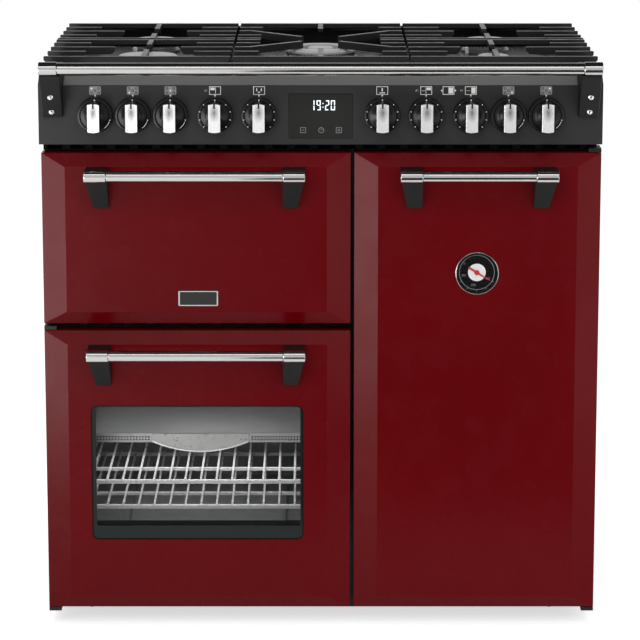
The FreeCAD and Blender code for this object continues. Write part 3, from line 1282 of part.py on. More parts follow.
save("tall_oven_fan", [oven_fan(TALL_CAVITY)])
save("pan_support_left", [side_support(-1)])
save("pan_support_centre", [centre_support()])
save("pan_support_right", [side_support(1)])
save("top_door_panel", [top_door_panel()])
save("top_door_liner", [drop_liner()])
save("main_door_panel", [main_door_panel()])
save("main_door_liner", [main_door_liner()])
save("main_door_glass", main_door_glass())
save("tall_door_panel", [tall_door_panel()])
save("tall_door_liner", [swing_liner(TALL_DOOR, TALL_DOOR_R - PIN_INSET)])
save("gauge_case", [gauge_case()])
save("gauge_glass", [gauge_glass()])
save("gauge_needle", [gauge_needle()])
for name, mid_x, top, length in (("top_door", LEFT_MID_X, DOORS_TOP, LEFT_HANDLE_L),
                                 ("main_door", LEFT_MID_X, MAIN_DOOR_TOP, LEFT_HANDLE_L),
                                 ("tall_door", TALL_MID_X, DOORS_TOP, TALL_HANDLE_L)):
    save(name + "_handle", handle(mid_x, top, length))
    save(name + "_handle_brackets", handle_brackets(mid_x, top, length))
for k, x in enumerate(GAS_KNOB_X):
    save("gas_knob_%d" % (k + 1), [knob(x)])
for k, x in enumerate(OVEN_KNOB_X):
    save("oven_knob_%d" % (k + 1), [knob(x)])
for name, place in zip(("front_left", "front_right", "rear_left", "rear_right"), foot_places()):
    save("foot_" + name, [foot(*place)])
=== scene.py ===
import math

import bmesh
import bpy
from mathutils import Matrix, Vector


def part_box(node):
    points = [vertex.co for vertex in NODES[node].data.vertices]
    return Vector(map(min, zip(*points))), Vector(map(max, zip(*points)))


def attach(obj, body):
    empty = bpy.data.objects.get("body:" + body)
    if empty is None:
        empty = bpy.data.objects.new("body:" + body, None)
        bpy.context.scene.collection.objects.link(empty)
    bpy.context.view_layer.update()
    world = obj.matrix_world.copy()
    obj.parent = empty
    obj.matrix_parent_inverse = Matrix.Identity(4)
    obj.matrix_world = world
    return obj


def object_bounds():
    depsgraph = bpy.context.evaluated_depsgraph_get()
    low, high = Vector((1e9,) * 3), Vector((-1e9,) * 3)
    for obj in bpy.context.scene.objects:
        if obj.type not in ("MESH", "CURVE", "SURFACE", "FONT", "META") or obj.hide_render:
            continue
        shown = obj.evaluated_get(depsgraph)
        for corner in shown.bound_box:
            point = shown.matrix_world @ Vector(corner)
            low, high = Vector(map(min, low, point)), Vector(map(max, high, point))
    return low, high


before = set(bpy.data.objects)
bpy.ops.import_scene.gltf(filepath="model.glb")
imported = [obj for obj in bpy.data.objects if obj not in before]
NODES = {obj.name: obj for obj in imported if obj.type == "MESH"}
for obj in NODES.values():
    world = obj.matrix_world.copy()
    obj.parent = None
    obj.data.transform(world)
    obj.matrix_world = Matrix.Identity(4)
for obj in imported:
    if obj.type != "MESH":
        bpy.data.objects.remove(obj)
CAD_LOW, CAD_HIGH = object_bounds()
MM = 0.001
MICRON = 0.000001


def mm(*lengths):
    """Lengths in millimetres, turned into metres."""
    return [length * MM for length in lengths]


# Material helpers

# The middle span sets where the painted shade round a spot on the grip inserts fades out
NOISE_SPAN, PAINTED_SHADE_SPAN, FLECK_SPAN = (0.3, 0.7), (0.05, 0.95), (0.12, 0.24)
GLOSS_PACE = 6
WHITE = (1, 1, 1, 1)
# Shares of a roughness that its noise runs between
COAT_GLOSS, METAL_GLOSS, ENAMEL_GLOSS, GLASS_GLOSS = (0.85, 1.2), (0.7, 1.4), (0.8, 1.3), (0.5, 2.0)


def new_material(name):
    """A fresh node material and the sockets of its shader."""
    material = bpy.data.materials.new(name)
    material.use_nodes = True
    return material, material.node_tree.nodes["Principled BSDF"].inputs


def add(owner, kind, **inputs):
    """A node of a material or world, with some of its inputs set."""
    node = owner.node_tree.nodes.new(kind)
    for key, value in inputs.items():
        node.inputs[key.replace("_", " ")].default_value = value
    return node


def wire(output, socket):
    socket.id_data.links.new(output, socket)


def noise(material, scale, detail=3.0, stretch=None):
    """Noise in the object's own metres, drawn out along an axis if asked."""
    place = add(material, "ShaderNodeTexCoord").outputs["Object"]
    if stretch:
        mapping = add(material, "ShaderNodeMapping", Scale=stretch)
        wire(place, mapping.inputs["Vector"])
        place = mapping.outputs["Vector"]
    node = add(material, "ShaderNodeTexNoise", Scale=scale, Detail=detail)
    wire(place, node.inputs["Vector"])
    return node.outputs["Fac"]


def ramp(material, factor, low, high, span=NOISE_SPAN):
    """Two colours at the ends of a span of a factor's values."""
    node = add(material, "ShaderNodeValToRGB")
    for stop, place, colour in zip(node.color_ramp.elements, span, (low, high)):
        stop.position = place
        stop.color = (*colour, 1)
    wire(factor, node.inputs["Fac"])
    return node.outputs["Color"]


def spread(material, factor, value, shares):
    """A value that runs between two shares of itself along a noise."""
    node = add(material, "ShaderNodeMapRange", From_Min=NOISE_SPAN[0], From_Max=NOISE_SPAN[1],
               To_Min=value * shares[0], To_Max=value * shares[1])
    wire(factor, node.inputs["Value"])
    return node.outputs["Result"]


def bump(material, sockets, factor, height):
    """Fine relief, its height in micrometres."""
    node = add(material, "ShaderNodeBump", Strength=1.0, Distance=height * MICRON)
    wire(factor, node.inputs["Height"])
    wire(node.outputs["Normal"], sockets["Normal"])


def shade(colour, share):
    return tuple(min(1.0, c * share) for c in colour)


def grey(level):
    return (level, level, level)


def drift(material, factor, colour, vary):
    """A colour that strays a little to both sides along a noise."""
    return ramp(material, factor, shade(colour, 1 - vary), shade(colour, 1 + vary))


def coated(name, colour, rough, grain=20, scale=900.0, vary=0.08, cloud=9.0, gloss=0.5):
    """Paint, enamel or plastic: slow colour drift, uneven gloss and a surface grain in micrometres."""
    material, sockets = new_material(name)
    wire(drift(material, noise(material, cloud), colour, vary), sockets["Base Color"])
    uneven = spread(material, noise(material, cloud * GLOSS_PACE), rough, COAT_GLOSS)
    wire(uneven, sockets["Roughness"])
    bump(material, sockets, noise(material, scale, detail=2.0), grain)
    sockets["Specular IOR Level"].default_value = gloss
    return material


def metal_finish(material, sockets, rough, stretch, scale, scratch):
    """Uneven gloss and scratches, in micrometres, of a metal; gives the noise that drives them."""
    marks = noise(material, scale, detail=4.0, stretch=stretch)
    wire(spread(material, marks, rough, METAL_GLOSS), sockets["Roughness"])
    bump(material, sockets, marks, scratch)
    sockets["Metallic"].default_value = 1.0
    return marks


def metal(name, colour, rough, stretch=None, scale=300.0, scratch=4, vary=0.05):
    """Bare or plated metal with a fine drawn or mottled finish."""
    material, sockets = new_material(name)
    marks = metal_finish(material, sockets, rough, stretch, scale, scratch)
    wire(drift(material, marks, colour, vary), sockets["Base Color"])
    return material


def metal_with_painted_shade(name, colour, painted_shade, rough, stretch, scale, scratch, place, reach):
    """Metal with painted shade in its colour: darker round one place of its piece, as a dished face would
    look under the lamps.
    """
    material, sockets = new_material(name)
    metal_finish(material, sockets, rough, stretch, scale, scratch)
    start = tuple(-p * r for p, r in zip(place, reach))
    shade_spot = add(material, "ShaderNodeMapping", Scale=reach, Location=start)
    wire(add(material, "ShaderNodeTexCoord").outputs["Generated"], shade_spot.inputs["Vector"])
    glow = add(material, "ShaderNodeTexGradient")
    glow.gradient_type = "SPHERICAL"
    wire(shade_spot.outputs["Vector"], glow.inputs["Vector"])
    tone = ramp(material, glow.outputs["Fac"], colour, painted_shade, PAINTED_SHADE_SPAN)
    wire(tone, sockets["Base Color"])
    return material


def speckled(name, colour, fleck, rough, flecks=420.0, cloud=40.0, grain=30, scale=700.0):
    """Vitreous enamel with small pale flecks."""
    material, sockets = new_material(name)
    place = add(material, "ShaderNodeTexCoord").outputs["Object"]
    cells = add(material, "ShaderNodeTexVoronoi", Scale=flecks)
    wire(place, cells.inputs["Vector"])
    tone = ramp(material, cells.outputs["Distance"], fleck, colour, FLECK_SPAN)
    wire(tone, sockets["Base Color"])
    uneven = spread(material, noise(material, cloud), rough, ENAMEL_GLOSS)
    wire(uneven, sockets["Roughness"])
    bump(material, sockets, noise(material, scale), grain)
    return material


def clear_glass(name, tint, cover, rough=0.03, smears=25.0, cloud=5.0, thin=0.9):
    """Thin clear pane: light passes but for a faint tint, with slight smears in its gloss."""
    material, sockets = new_material(name)
    smeared = spread(material, noise(material, smears), rough, GLASS_GLOSS)
    wire(smeared, sockets["Roughness"])
    wire(ramp(material, noise(material, cloud), shade(tint, thin), tint), sockets["Base Color"])
    sockets["Alpha"].default_value = cover
    return material


def lit(name, colour, strength, cloud=200.0, dim=0.92):
    """A glowing display mark with a faint unevenness."""
    material, sockets = new_material(name)
    glow = ramp(material, noise(material, cloud), shade(colour, dim), colour)
    wire(glow, sockets["Emission Color"])
    wire(glow, sockets["Base Color"])
    sockets["Emission Strength"].default_value = strength
    return material


# Materials

DRAWN_X, DRAWN_Y, DRAWN_Z = (1.0, 40.0, 40.0), (60.0, 1.0, 60.0), (60.0, 60.0, 1.0)
BURGUNDY = coated("burgundy_enamel", (0.118, 0.0006, 0.0026), rough=0.26, grain=12, scale=520,
                  vary=0.05, cloud=4, gloss=0.075)
CHARCOAL = coated("charcoal_enamel", (0.030, 0.030, 0.0305), rough=0.40, scale=1400, vary=0.06, gloss=0.12)
GLOSS_BLACK = coated("black_enamel", (0.006, 0.006, 0.0065), rough=0.22, grain=4, scale=500,
                     vary=0.10, gloss=0.13)
BLACK_PAINT = coated("black_paint", (0.011, 0.0115, 0.0115), rough=0.45, grain=10, scale=1500,
                     vary=0.10, gloss=0.15)
# Plain black for the window gasket, printed rings and vent trims, and also painted shade where it stands in
# for holes, flame ports, screw recesses and the dark line between the window's panes
BLACK_AND_PAINTED_SHADE = coated("black_and_painted_shade", grey(0.003), rough=0.6, vary=0.10, gloss=0.05)
OVEN_ENAMEL = speckled("oven_enamel", (0.150, 0.151, 0.155), fleck=(0.42, 0.43, 0.45), rough=0.38)
ZINC = metal("zinc_sheet", (0.42, 0.43, 0.44), rough=0.60, scale=60, scratch=10, vary=0.12)
CHROME = metal("chrome", (0.45, 0.445, 0.44), rough=0.12, stretch=DRAWN_X, scale=40, scratch=1.5, vary=0.03)
# Grip inserts: chrome with a painted shade, darker round a spot near their top
GRIP_CHROME_PAINTED_SHADE = metal_with_painted_shade("grip_chrome_painted_shade", grey(0.80), painted_shade=grey(0.22), rough=0.24, stretch=DRAWN_Z,
                           scale=30, scratch=3, place=(0.5, 0.5, 0.70), reach=(2.0, 0.0, 2.6))
SATIN_CHROME = metal("satin_chrome", grey(0.80), rough=0.24, stretch=DRAWN_Y, scale=30, scratch=3)
WIRE_STEEL = metal("steel_wire", grey(0.62), rough=0.22, scale=500, vary=0.06)
RACK_WIRE = coated("rack_wire", grey(0.50), rough=0.28, grain=10, scale=700, vary=0.06, gloss=0.8)
TRAY_STEEL = metal("tray_steel", (0.30, 0.30, 0.296), rough=0.36, scale=260, scratch=6, vary=0.08)
TRAY_MESH = coated("tray_mesh", (0.12, 0.12, 0.119), rough=0.45, grain=10, vary=0.10, gloss=0.4)
# A paler grey that paints on the sloping strip the light it catches from above
STRIP_PAINTED_SHEEN = coated("strip_painted_sheen", (0.120, 0.120, 0.118), rough=0.40, scale=1400, vary=0.06, gloss=0.2)
CAST_IRON = coated("cast_iron", (0.015, 0.015, 0.0155), rough=0.34, grain=80, scale=420, vary=0.20,
                   gloss=0.2)
BURNER_ALLOY = metal("burner_alloy", grey(0.46), rough=0.45, scale=700, scratch=30, vary=0.12)
CAP_GREY = coated("burner_cap", (0.34, 0.34, 0.335), rough=0.42, grain=60, scale=700, vary=0.10, gloss=0.3)
CERAMIC = coated("ceramic", (0.72, 0.72, 0.70), rough=0.18, grain=10, scale=500, vary=0.04)
KNOB_BLACK = coated("knob_black", grey(0.006), rough=0.24, grain=6, scale=700, gloss=0.14)
TIMER_GLASS = coated("timer_glass", (0.017, 0.017, 0.0155), rough=0.08, grain=2, scale=300, vary=0.10,
                     gloss=0.15)
WINDOW_GLASS = clear_glass("window_glass", (0.030, 0.034, 0.033), cover=0.022)
PRINT_WHITE = coated("print_white", grey(0.86), rough=0.45, grain=10, scale=1500, vary=0.03)
PRINT_GREY = coated("print_grey", grey(0.26), rough=0.45, grain=10, scale=1500, vary=0.03)
PRINT_BLACK = coated("print_black", (0.014, 0.0185, 0.0175), rough=0.12, grain=4, scale=600, gloss=0.12)
LAMP_GREY = coated("lamp_grey", grey(0.10), rough=0.25, grain=10)
NEEDLE_RED = coated("needle_red", (0.55, 0.010, 0.012), rough=0.35, grain=10, vary=0.05)
SEAL_RUBBER = coated("seal_rubber", grey(0.02), rough=0.7, grain=50, vary=0.12)
BRASS = metal("brass", (0.60, 0.42, 0.16), rough=0.30, scale=500, scratch=10, vary=0.10)
ELEMENT = coated("element", (0.05, 0.045, 0.04), rough=0.5, grain=30, vary=0.25)
DISPLAY = lit("display", (0.85, 0.93, 1.0), strength=1.0)


# Mesh helpers

MERGE_REACH = 1e-7
FULL_TURN, QUARTER_TURN = 2 * math.pi, math.pi / 2
# Angles in degrees up to which neighbouring faces are shaded as one
FLAT, SOFT, ROUND, DISHED = 0.0, 30.0, 40.0, 50.0


def new_object(name, data):
    """An object linked into the scene."""
    obj = bpy.data.objects.new(name, data)
    bpy.context.scene.collection.objects.link(obj)
    return obj


def piece(name, body, material, build, smooth=SOFT):
    """A new piece made by a function on a bmesh, riding on a body."""
    bm = bmesh.new()
    build(bm)
    bmesh.ops.remove_doubles(bm, verts=bm.verts, dist=MERGE_REACH)
    bmesh.ops.recalc_face_normals(bm, faces=bm.faces)
    mesh = bpy.data.meshes.new(name)
    bm.to_mesh(mesh)
    bm.free()
    mesh.materials.append(material)
    if smooth:
        mesh.polygons.foreach_set("use_smooth", [True] * len(mesh.polygons))
        mesh.set_sharp_from_angle(angle=math.radians(smooth))
    obj = new_object(name, mesh)
    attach(obj, body)


def skin(bm, rings):
    """Faces through a row of matching rings of points, where a ring of one point closes an end."""
    rows = [[bm.verts.new(p) for p in ring] for ring in rings]
    steps = max(len(row) for row in rows)
    for low, high in zip(rows, rows[1:]):
        for k in range(steps):
            j = (k + 1) % steps
            corners = (low[k % len(low)], low[j % len(low)], high[j % len(high)], high[k % len(high)])
            bm.faces.new(list(dict.fromkeys(corners)))
    return rows


def prism(bm, rings):
    """A closed solid through a row of matching outlines."""
    rows = skin(bm, rings)
    bm.faces.new(rows[0])
    bm.faces.new(list(reversed(rows[-1])))


def slab(bm, outline, y0, y1):
    """A flat plate from an outline of (x, z) points, between two depths."""
    prism(bm, [[(x, y, z) for x, z in outline] for y in (y0, y1)])


def rectangle(x0, x1, z0, z1):
    return [(x0, z0), (x1, z0), (x1, z1), (x0, z1)]


def bar(bm, x0, x1, y0, y1, z0, z1):
    slab(bm, rectangle(x0, x1, z0, z1), y0, y1)


def beam(bm, start, stop, w, h):
    """A straight level bar of rectangular section between two points."""
    start, stop = Vector(start), Vector(stop)
    along = (stop - start).normalized()
    side = along.cross(Vector((0, 0, 1))).normalized()
    over = side.cross(along)
    corners = [side * w / 2 * a + over * h / 2 * b for a, b in rectangle(-1, 1, -1, 1)]
    prism(bm, [[tuple(end + c) for c in corners] for end in (start, stop)])


def around(x, z, r, turn):
    """A point of a circle, its turn clockwise from the top seen from the front."""
    return x + r * math.sin(turn), z + r * math.cos(turn)


def circle(x, z, r, steps=32, start=0.0, stop=FULL_TURN):
    """Points of an arc, clockwise from the top; a whole circle leaves out the last point."""
    count = steps if stop - start == FULL_TURN else steps + 1
    return [around(x, z, r, start + (stop - start) * k / steps) for k in range(count)]


def dot(bm, x, z, r, y0, y1, steps=20):
    """A round plate."""
    slab(bm, circle(x, z, r, steps), y0, y1)


def arc_plate(bm, x, z, r0, r1, start, stop, y0, y1, steps=12):
    """Part of a flat ring, its angles in degrees clockwise from the top."""
    a, b = math.radians(start), math.radians(stop)
    slab(bm, circle(x, z, r0, steps, a, b) + list(reversed(circle(x, z, r1, steps, a, b))), y0, y1)


def rounded(x0, x1, z0, z1, r, steps=5):
    """Outline of a rectangle with round corners, clockwise from the top right one."""
    points = []
    for k, (x, z) in enumerate(((x1 - r, z1 - r), (x1 - r, z0 + r), (x0 + r, z0 + r), (x0 + r, z1 - r))):
        points += circle(x, z, r, steps, k * QUARTER_TURN, (k + 1) * QUARTER_TURN)
    return points


def hoop(x, z, r, steps):
    """Points of a circle, or its middle alone where the radius is nought."""
    return circle(x, z, r, steps) if r else [(x, z)]


def lathe(bm, profile, x, z, steps=64):
    """A profile of (radius, y) points turned about an axis along Y."""
    skin(bm, [[(px, y, pz) for px, pz in hoop(x, z, r, steps)] for r, y in profile])


def lathe_z(bm, profile, x, y, steps=48):
    """A profile of (radius, z) points turned about an upright axis."""
    skin(bm, [[(px, py, z) for px, py in hoop(x, y, r, steps)] for r, z in profile])


def set_out(points, across, level):
    """Points in millimetres set out from a first and a second starting value."""
    return [(across + a * MM, level + b * MM) for a, b in points]


def edge_ring(bm, outer, inner, y0, y1):
    """A flat frame between two matching outlines."""
    rows = [[bm.verts.new((x, y, z)) for x, z in line] for line in (outer, inner) for y in (y0, y1)]
    front_out, back_out, front_in, back_in = rows
    count = len(front_out)
    for k in range(count):
        j = (k + 1) % count
        bm.faces.new((front_out[k], front_out[j], front_in[j], front_in[k]))
        bm.faces.new((back_out[k], back_in[k], back_in[j], back_out[j]))
        bm.faces.new((front_out[k], back_out[k], back_out[j], front_out[j]))
        bm.faces.new((front_in[k], front_in[j], back_in[j], back_in[k]))


def flat_ring(bm, x, z, r, inner, y0, y1, steps):
    edge_ring(bm, circle(x, z, r, steps), circle(x, z, inner, steps), y0, y1)


def frame_mark(bm, x, z, w, h, line, y0, y1):
    """Outline of a rectangle, drawn with an even line."""
    x0, x1, z0, z1 = x - w / 2, x + w / 2, z - h / 2, z + h / 2
    inner = rectangle(x0 + line, x1 - line, z0 + line, z1 - line)
    edge_ring(bm, rectangle(x0, x1, z0, z1), inner, y0, y1)


# Materials and edges of the carried-over nodes

WELD_REACH = 1e-6
FLAT_ANGLE, CREASE, DOOR_CREASE = 0.4, 32.0, 10.0
EDGE_STEPS = 2
PLAIN = 0.3
# Material and edge width in millimetres, by a part of the node's name
FINISHES = {
    "base_frame": (BLACK_PAINT, 0.4), "side_panels": (BLACK_PAINT, 0.5), "back_panel": (ZINC, 0.4),
    "front_frame": (GLOSS_BLACK, 0.4), "oven_liner": (OVEN_ENAMEL, PLAIN), "door_seals": (SEAL_RUBBER, PLAIN),
    "vent_trims": (BLACK_AND_PAINTED_SHADE, 0.4), "control_fascia": (CHARCOAL, 0.8), "timer_glass": (TIMER_GLASS, PLAIN),
    "control_bodies": (BRASS, PLAIN), "gas_manifold": (ZINC, PLAIN), "hob_rail": (CHROME, 1.0),
    "rail_brackets": (BLACK_PAINT, 1.2), "hob_tray": (GLOSS_BLACK, 1.0), "burner_bodies": (BURNER_ALLOY, 0.4),
    "burner_caps": (CAP_GREY, 0.8), "spark_plugs": (CERAMIC, PLAIN), "hinge_brackets": (BLACK_PAINT, 0.6),
    "oven_racks": (RACK_WIRE, 1.0), "air_fry_tray": (TRAY_STEEL, 0.4), "grill_element": (ELEMENT, PLAIN),
    "fan_covers": (OVEN_ENAMEL, PLAIN), "fan_motors": (ZINC, PLAIN), "oven_fan": (WIRE_STEEL, PLAIN),
    "gauge_case": (CHROME, PLAIN), "gauge_glass": (WINDOW_GLASS, PLAIN), "gauge_needle": (NEEDLE_RED, PLAIN),
    "door_panel": (BURGUNDY, 1.2), "door_liner": (OVEN_ENAMEL, 0.6), "door_glass": (WINDOW_GLASS, PLAIN),
    "door_handle_brackets": (BLACK_PAINT, 1.2), "door_handle": (CHROME, 1.0), "knob": (KNOB_BLACK, PLAIN),
    "pan_support": (CAST_IRON, 2.4), "foot": (BLACK_PAINT, PLAIN),
}


def finish(name):
    """What the table says of a node, by the first key that its name holds."""
    return next(FINISHES[key] for key in FINISHES if key in name)


def dress(node, width, angle, split):
    """Softens a node's edges in view with modifiers, its own vertices left as they are."""
    if "custom_normal" in node.data.attributes:
        node.data.attributes.remove(node.data.attributes["custom_normal"])
    node.data.polygons.foreach_set("use_smooth", [True] * len(node.data.polygons))
    weld = node.modifiers.new("weld", "WELD")
    weld.merge_threshold = WELD_REACH
    flat = node.modifiers.new("flat", "DECIMATE")
    flat.decimate_type = "DISSOLVE"
    flat.angle_limit = math.radians(FLAT_ANGLE)
    if split:
        node.modifiers.new("triangles", "TRIANGULATE")
    bevel = node.modifiers.new("edges", "BEVEL")
    bevel.limit_method = "ANGLE"
    bevel.angle_limit = math.radians(angle)
    bevel.width = width * MM
    bevel.segments = EDGE_STEPS
    bevel.harden_normals = True


# The door sheets' faces are split first, as their slots would close up under the bevel
for node_name, node in NODES.items():
    material, width = finish(node_name)
    node.data.materials.clear()
    node.data.materials.append(material)
    crease = DOOR_CREASE if node_name.endswith("door_panel") else CREASE
    dress(node, width, crease, node_name.endswith(("door_panel", "door_liner")))


# Places in the frame

def box_of(node):
    """Lowest and highest corner of a node."""
    low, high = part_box(node)
    return Vector(low), Vector(high)


def middle(node):
    low, high = box_of(node)
    return (low + high) / 2


def knob_middle(name):
    """Middle of a knob seen from the front."""
    low, high = box_of(name)
    return (low.x + high.x) / 2, (low.z + high.z) / 2


# Knobs

GAS_KNOBS = ["gas_knob_%d" % k for k in range(1, 6)]
OVEN_KNOBS = ["oven_knob_%d" % k for k in range(1, 6)]
GRIP_STAND, RIM_STAND = mm(33, 1.2)
# Radius and depth behind the skirt's face
RIM_PROFILE = ((22, 0.3), (22.8, -0.3), (23.6, -1.2), (26.4, -1.2), (27.7, -0.7), (28.3, 0.6), (28.3, 12.4),
               (26.5, 12.4), (26.5, 3), (22, 3), (22, 0.3))
BOSS_PROFILE = ((0, 1), (22.4, 1), (22.4, -0.1), (19, -0.7), (15, -2.2), (11, -5.5), (0, -5.5))
INSERT_W, INSERT_SIDE, INSERT_ARCH = mm(18.8, 43.2, 1.6)
INSERT_BEVEL_W, INSERT_BEVEL_H = mm(1.2, 0.8)
INSERT_SUNK, INSERT_EDGE, INSERT_STAND = mm(0.4, 0.5, 1)
NOTCH_W, NOTCH_L, NOTCH_STAND = mm(2.6, 7.5, 1.15)
PRINT = 0.12 * MM
MARK_R, TOP_DOT_R, SIDE_DOT_R = mm(25, 1.1, 0.9)
# Turns in degrees clockwise from the top
SIDE_DOT_TURN = 106
GAS_ARC_R, GAS_ARC_TURNS = mm(24.6, 25.3), (112, 142)
TICK_R, TICK_TURNS, TICK_HALF = mm(24, 26), range(45, 316, 30), 1.2


def arched(x, z, w, side, arch, steps=8):
    """Outline of an upright plate with gently arched ends."""
    shares = [2 * k / steps - 1 for k in range(steps + 1)]
    top = [(x + u * w / 2, z + side / 2 + arch * (1 - u * u)) for u in shares]
    return top + [(2 * x - px, 2 * z - pz) for px, pz in top]


def grip_insert(bm, x, z, tip):
    """Bright plate on the grip's front with a softened edge."""
    full = arched(x, z, INSERT_W, INSERT_SIDE, INSERT_ARCH)
    small = arched(x, z, INSERT_W - INSERT_BEVEL_W, INSERT_SIDE - INSERT_BEVEL_H, INSERT_ARCH)
    rows = ((full, tip + INSERT_SUNK), (full, tip - INSERT_EDGE), (small, tip - INSERT_STAND))
    prism(bm, [[(px, y, pz) for px, pz in line] for line, y in rows])


def knob_marks(bm, name, x, z, y):
    """Printed marks on the rim: a dot at the top, then the gas knob's arc or the oven knob's ticks."""
    y0, y1 = y - PRINT, y + PRINT
    dot(bm, x, z + MARK_R, TOP_DOT_R, y0, y1)
    if name in GAS_KNOBS:
        dot(bm, *around(x, z, MARK_R, math.radians(SIDE_DOT_TURN)), SIDE_DOT_R, y0, y1)
        arc_plate(bm, x, z, *GAS_ARC_R, *GAS_ARC_TURNS, y0, y1)
        return
    for turn in TICK_TURNS:
        arc_plate(bm, x, z, *TICK_R, turn - TICK_HALF, turn + TICK_HALF, y0, y1, steps=2)


def dress_knob(name):
    """Turned rim and boss, bright insert, pointer notch and printed marks."""
    x, z = knob_middle(name)
    tip = box_of(name)[0].y
    face = tip + GRIP_STAND
    rim, boss = set_out(RIM_PROFILE, 0, face), set_out(BOSS_PROFILE, 0, face)
    top = z + INSERT_SIDE / 2 + INSERT_ARCH
    notch = (x - NOTCH_W / 2, x + NOTCH_W / 2, tip - NOTCH_STAND, tip, top - NOTCH_L, top)
    piece(name + "_rim", name, KNOB_BLACK, lambda bm: lathe(bm, rim, x, z))
    piece(name + "_boss", name, KNOB_BLACK, lambda bm: lathe(bm, boss, x, z), DISHED)
    # The insert's colour holds a painted shade near its top
    piece(name + "_insert", name, GRIP_CHROME_PAINTED_SHADE, lambda bm: grip_insert(bm, x, z, tip))
    piece(name + "_notch", name, KNOB_BLACK, lambda bm: bar(bm, *notch), smooth=FLAT)
    piece(name + "_marks", name, PRINT_WHITE, lambda bm: knob_marks(bm, name, x, z, face - RIM_STAND),
          smooth=FLAT)


for knob_name in GAS_KNOBS + OVEN_KNOBS:
    dress_knob(knob_name)


# Printing on the fascia

FASCIA_FACE = box_of("control_fascia")[0].y
FASCIA_PRINT = (FASCIA_FACE - PRINT, FASCIA_FACE + PRINT)
POINTER_RISE, POINTER_R = mm(30.3, 1.4)
ICON_RISE = 38.4 * MM
ICON_W, ICON_H, ICON_LINE = mm(18.5, 13.4, 0.9)
PLATE_CORNER = 2 * MM
HOB_MARKS = ((-1, 1), (-1, -1), (0, 0), (1, -1), (1, 1))
HOB_MARK_X, HOB_MARK_Z = ICON_W * 0.3, ICON_H * 0.25
HOB_RING_R, HOB_RING_IN = mm(2, 1.2)
SERVED_R = 1.7 * MM
ARROW_OUT, ARROW_L, ARROW_HALF = mm(3.2, 2.4, 2)
LAMP_KNOBS = (OVEN_KNOBS[0], OVEN_KNOBS[3], OVEN_KNOBS[4])
LAMP_ASIDE, LAMP_R, LAMP_TOP_R, LAMP_EDGE, LAMP_DOME = mm(14.6, 2.5, 1.6, 0.5, 0.7)
# Filled panes of each oven icon: left, right, low and high in shares of its inside
OVEN_PANES = (
    ((-0.5, -0.04, 0.06, 0.5), (0.02, 0.08, -0.5, 0.5)),
    ((-0.12, 0.12, -0.35, -0.2), (-0.3, -0.2, -0.1, 0.35), (0.2, 0.3, -0.1, 0.35)),
    ((-0.3, 0.3, -0.45, -0.3), (-0.06, 0.06, -0.15, 0.4)),
    ((0.05, 0.5, 0.06, 0.5), (-0.05, 0, -0.5, 0.5), (-0.5, -0.1, -0.06, 0)),
    ((0.05, 0.5, -0.5, 0.5), (-0.5, -0.08, -0.06, 0)),
)
SHARED_PANES = ((0, 0.5, -0.5, 0.5),)


def icon_place(name):
    """Middle of the icon over a knob."""
    x, z = knob_middle(name)
    return x, z + ICON_RISE


def hob_mark_places(name):
    """Places of the five burner marks on a gas knob's icon."""
    x, z = icon_place(name)
    return [(x + a * HOB_MARK_X, z + b * HOB_MARK_Z) for a, b in HOB_MARKS]


def gas_plates(bm):
    for name in GAS_KNOBS:
        x, z = icon_place(name)
        plate = rounded(x - ICON_W / 2, x + ICON_W / 2, z - ICON_H / 2, z + ICON_H / 2, PLATE_CORNER)
        slab(bm, plate, *FASCIA_PRINT)


def gas_rings(bm):
    for name in GAS_KNOBS:
        for x, z in hob_mark_places(name):
            flat_ring(bm, x, z, HOB_RING_R, HOB_RING_IN, FASCIA_FACE - 2 * PRINT, FASCIA_PRINT[1], steps=16)


def pointers(bm):
    """A dot over each knob."""
    for name in GAS_KNOBS + OVEN_KNOBS:
        x, z = knob_middle(name)
        dot(bm, x, z + POINTER_RISE, POINTER_R, *FASCIA_PRINT)


def served_burners(bm):
    """On each gas icon, the mark of the burner that its knob serves."""
    for k, name in enumerate(GAS_KNOBS):
        dot(bm, *hob_mark_places(name)[k], SERVED_R, FASCIA_FACE - 3 * PRINT, FASCIA_PRINT[1])


def oven_icon(bm, x, z, panes):
    """Small outline of an oven with some of its panes filled, a line's width inside the outline."""
    frame_mark(bm, x, z, ICON_W, ICON_H, ICON_LINE, *FASCIA_PRINT)
    inner_w, inner_h = ICON_W - 4 * ICON_LINE, ICON_H - 4 * ICON_LINE
    for left, right, low, high in panes:
        ends = z + low * inner_h, z + high * inner_h
        bar(bm, x + left * inner_w, x + right * inner_w, *FASCIA_PRINT, *ends)


def oven_icons(bm):
    """An icon over each oven knob, and one between the last two with an arrow to each."""
    for name, panes in zip(OVEN_KNOBS, OVEN_PANES):
        oven_icon(bm, *icon_place(name), panes)
    (left, _), (right, z) = [icon_place(name) for name in OVEN_KNOBS[-2:]]
    x = (left + right) / 2
    oven_icon(bm, x, z, SHARED_PANES)
    for side in (-1, 1):
        tip = x + side * (ICON_W / 2 + ARROW_OUT)
        foot = tip - side * ARROW_L
        slab(bm, [(tip, z), (foot, z + ARROW_HALF), (foot, z - ARROW_HALF)], *FASCIA_PRINT)


def white_marks(bm):
    for build in (pointers, served_burners, oven_icons):
        build(bm)


def lamp_discs(bm):
    """Unlit indicator lamps to the left of three oven icons."""
    y0, y1 = FASCIA_PRINT
    profile = ((0, y1), (LAMP_R, y1), (LAMP_R, y0), (LAMP_TOP_R, y0 - LAMP_EDGE), (0, y0 - LAMP_DOME))
    for name in LAMP_KNOBS:
        x, z = icon_place(name)
        lathe(bm, profile, x - LAMP_ASIDE, z, steps=20)


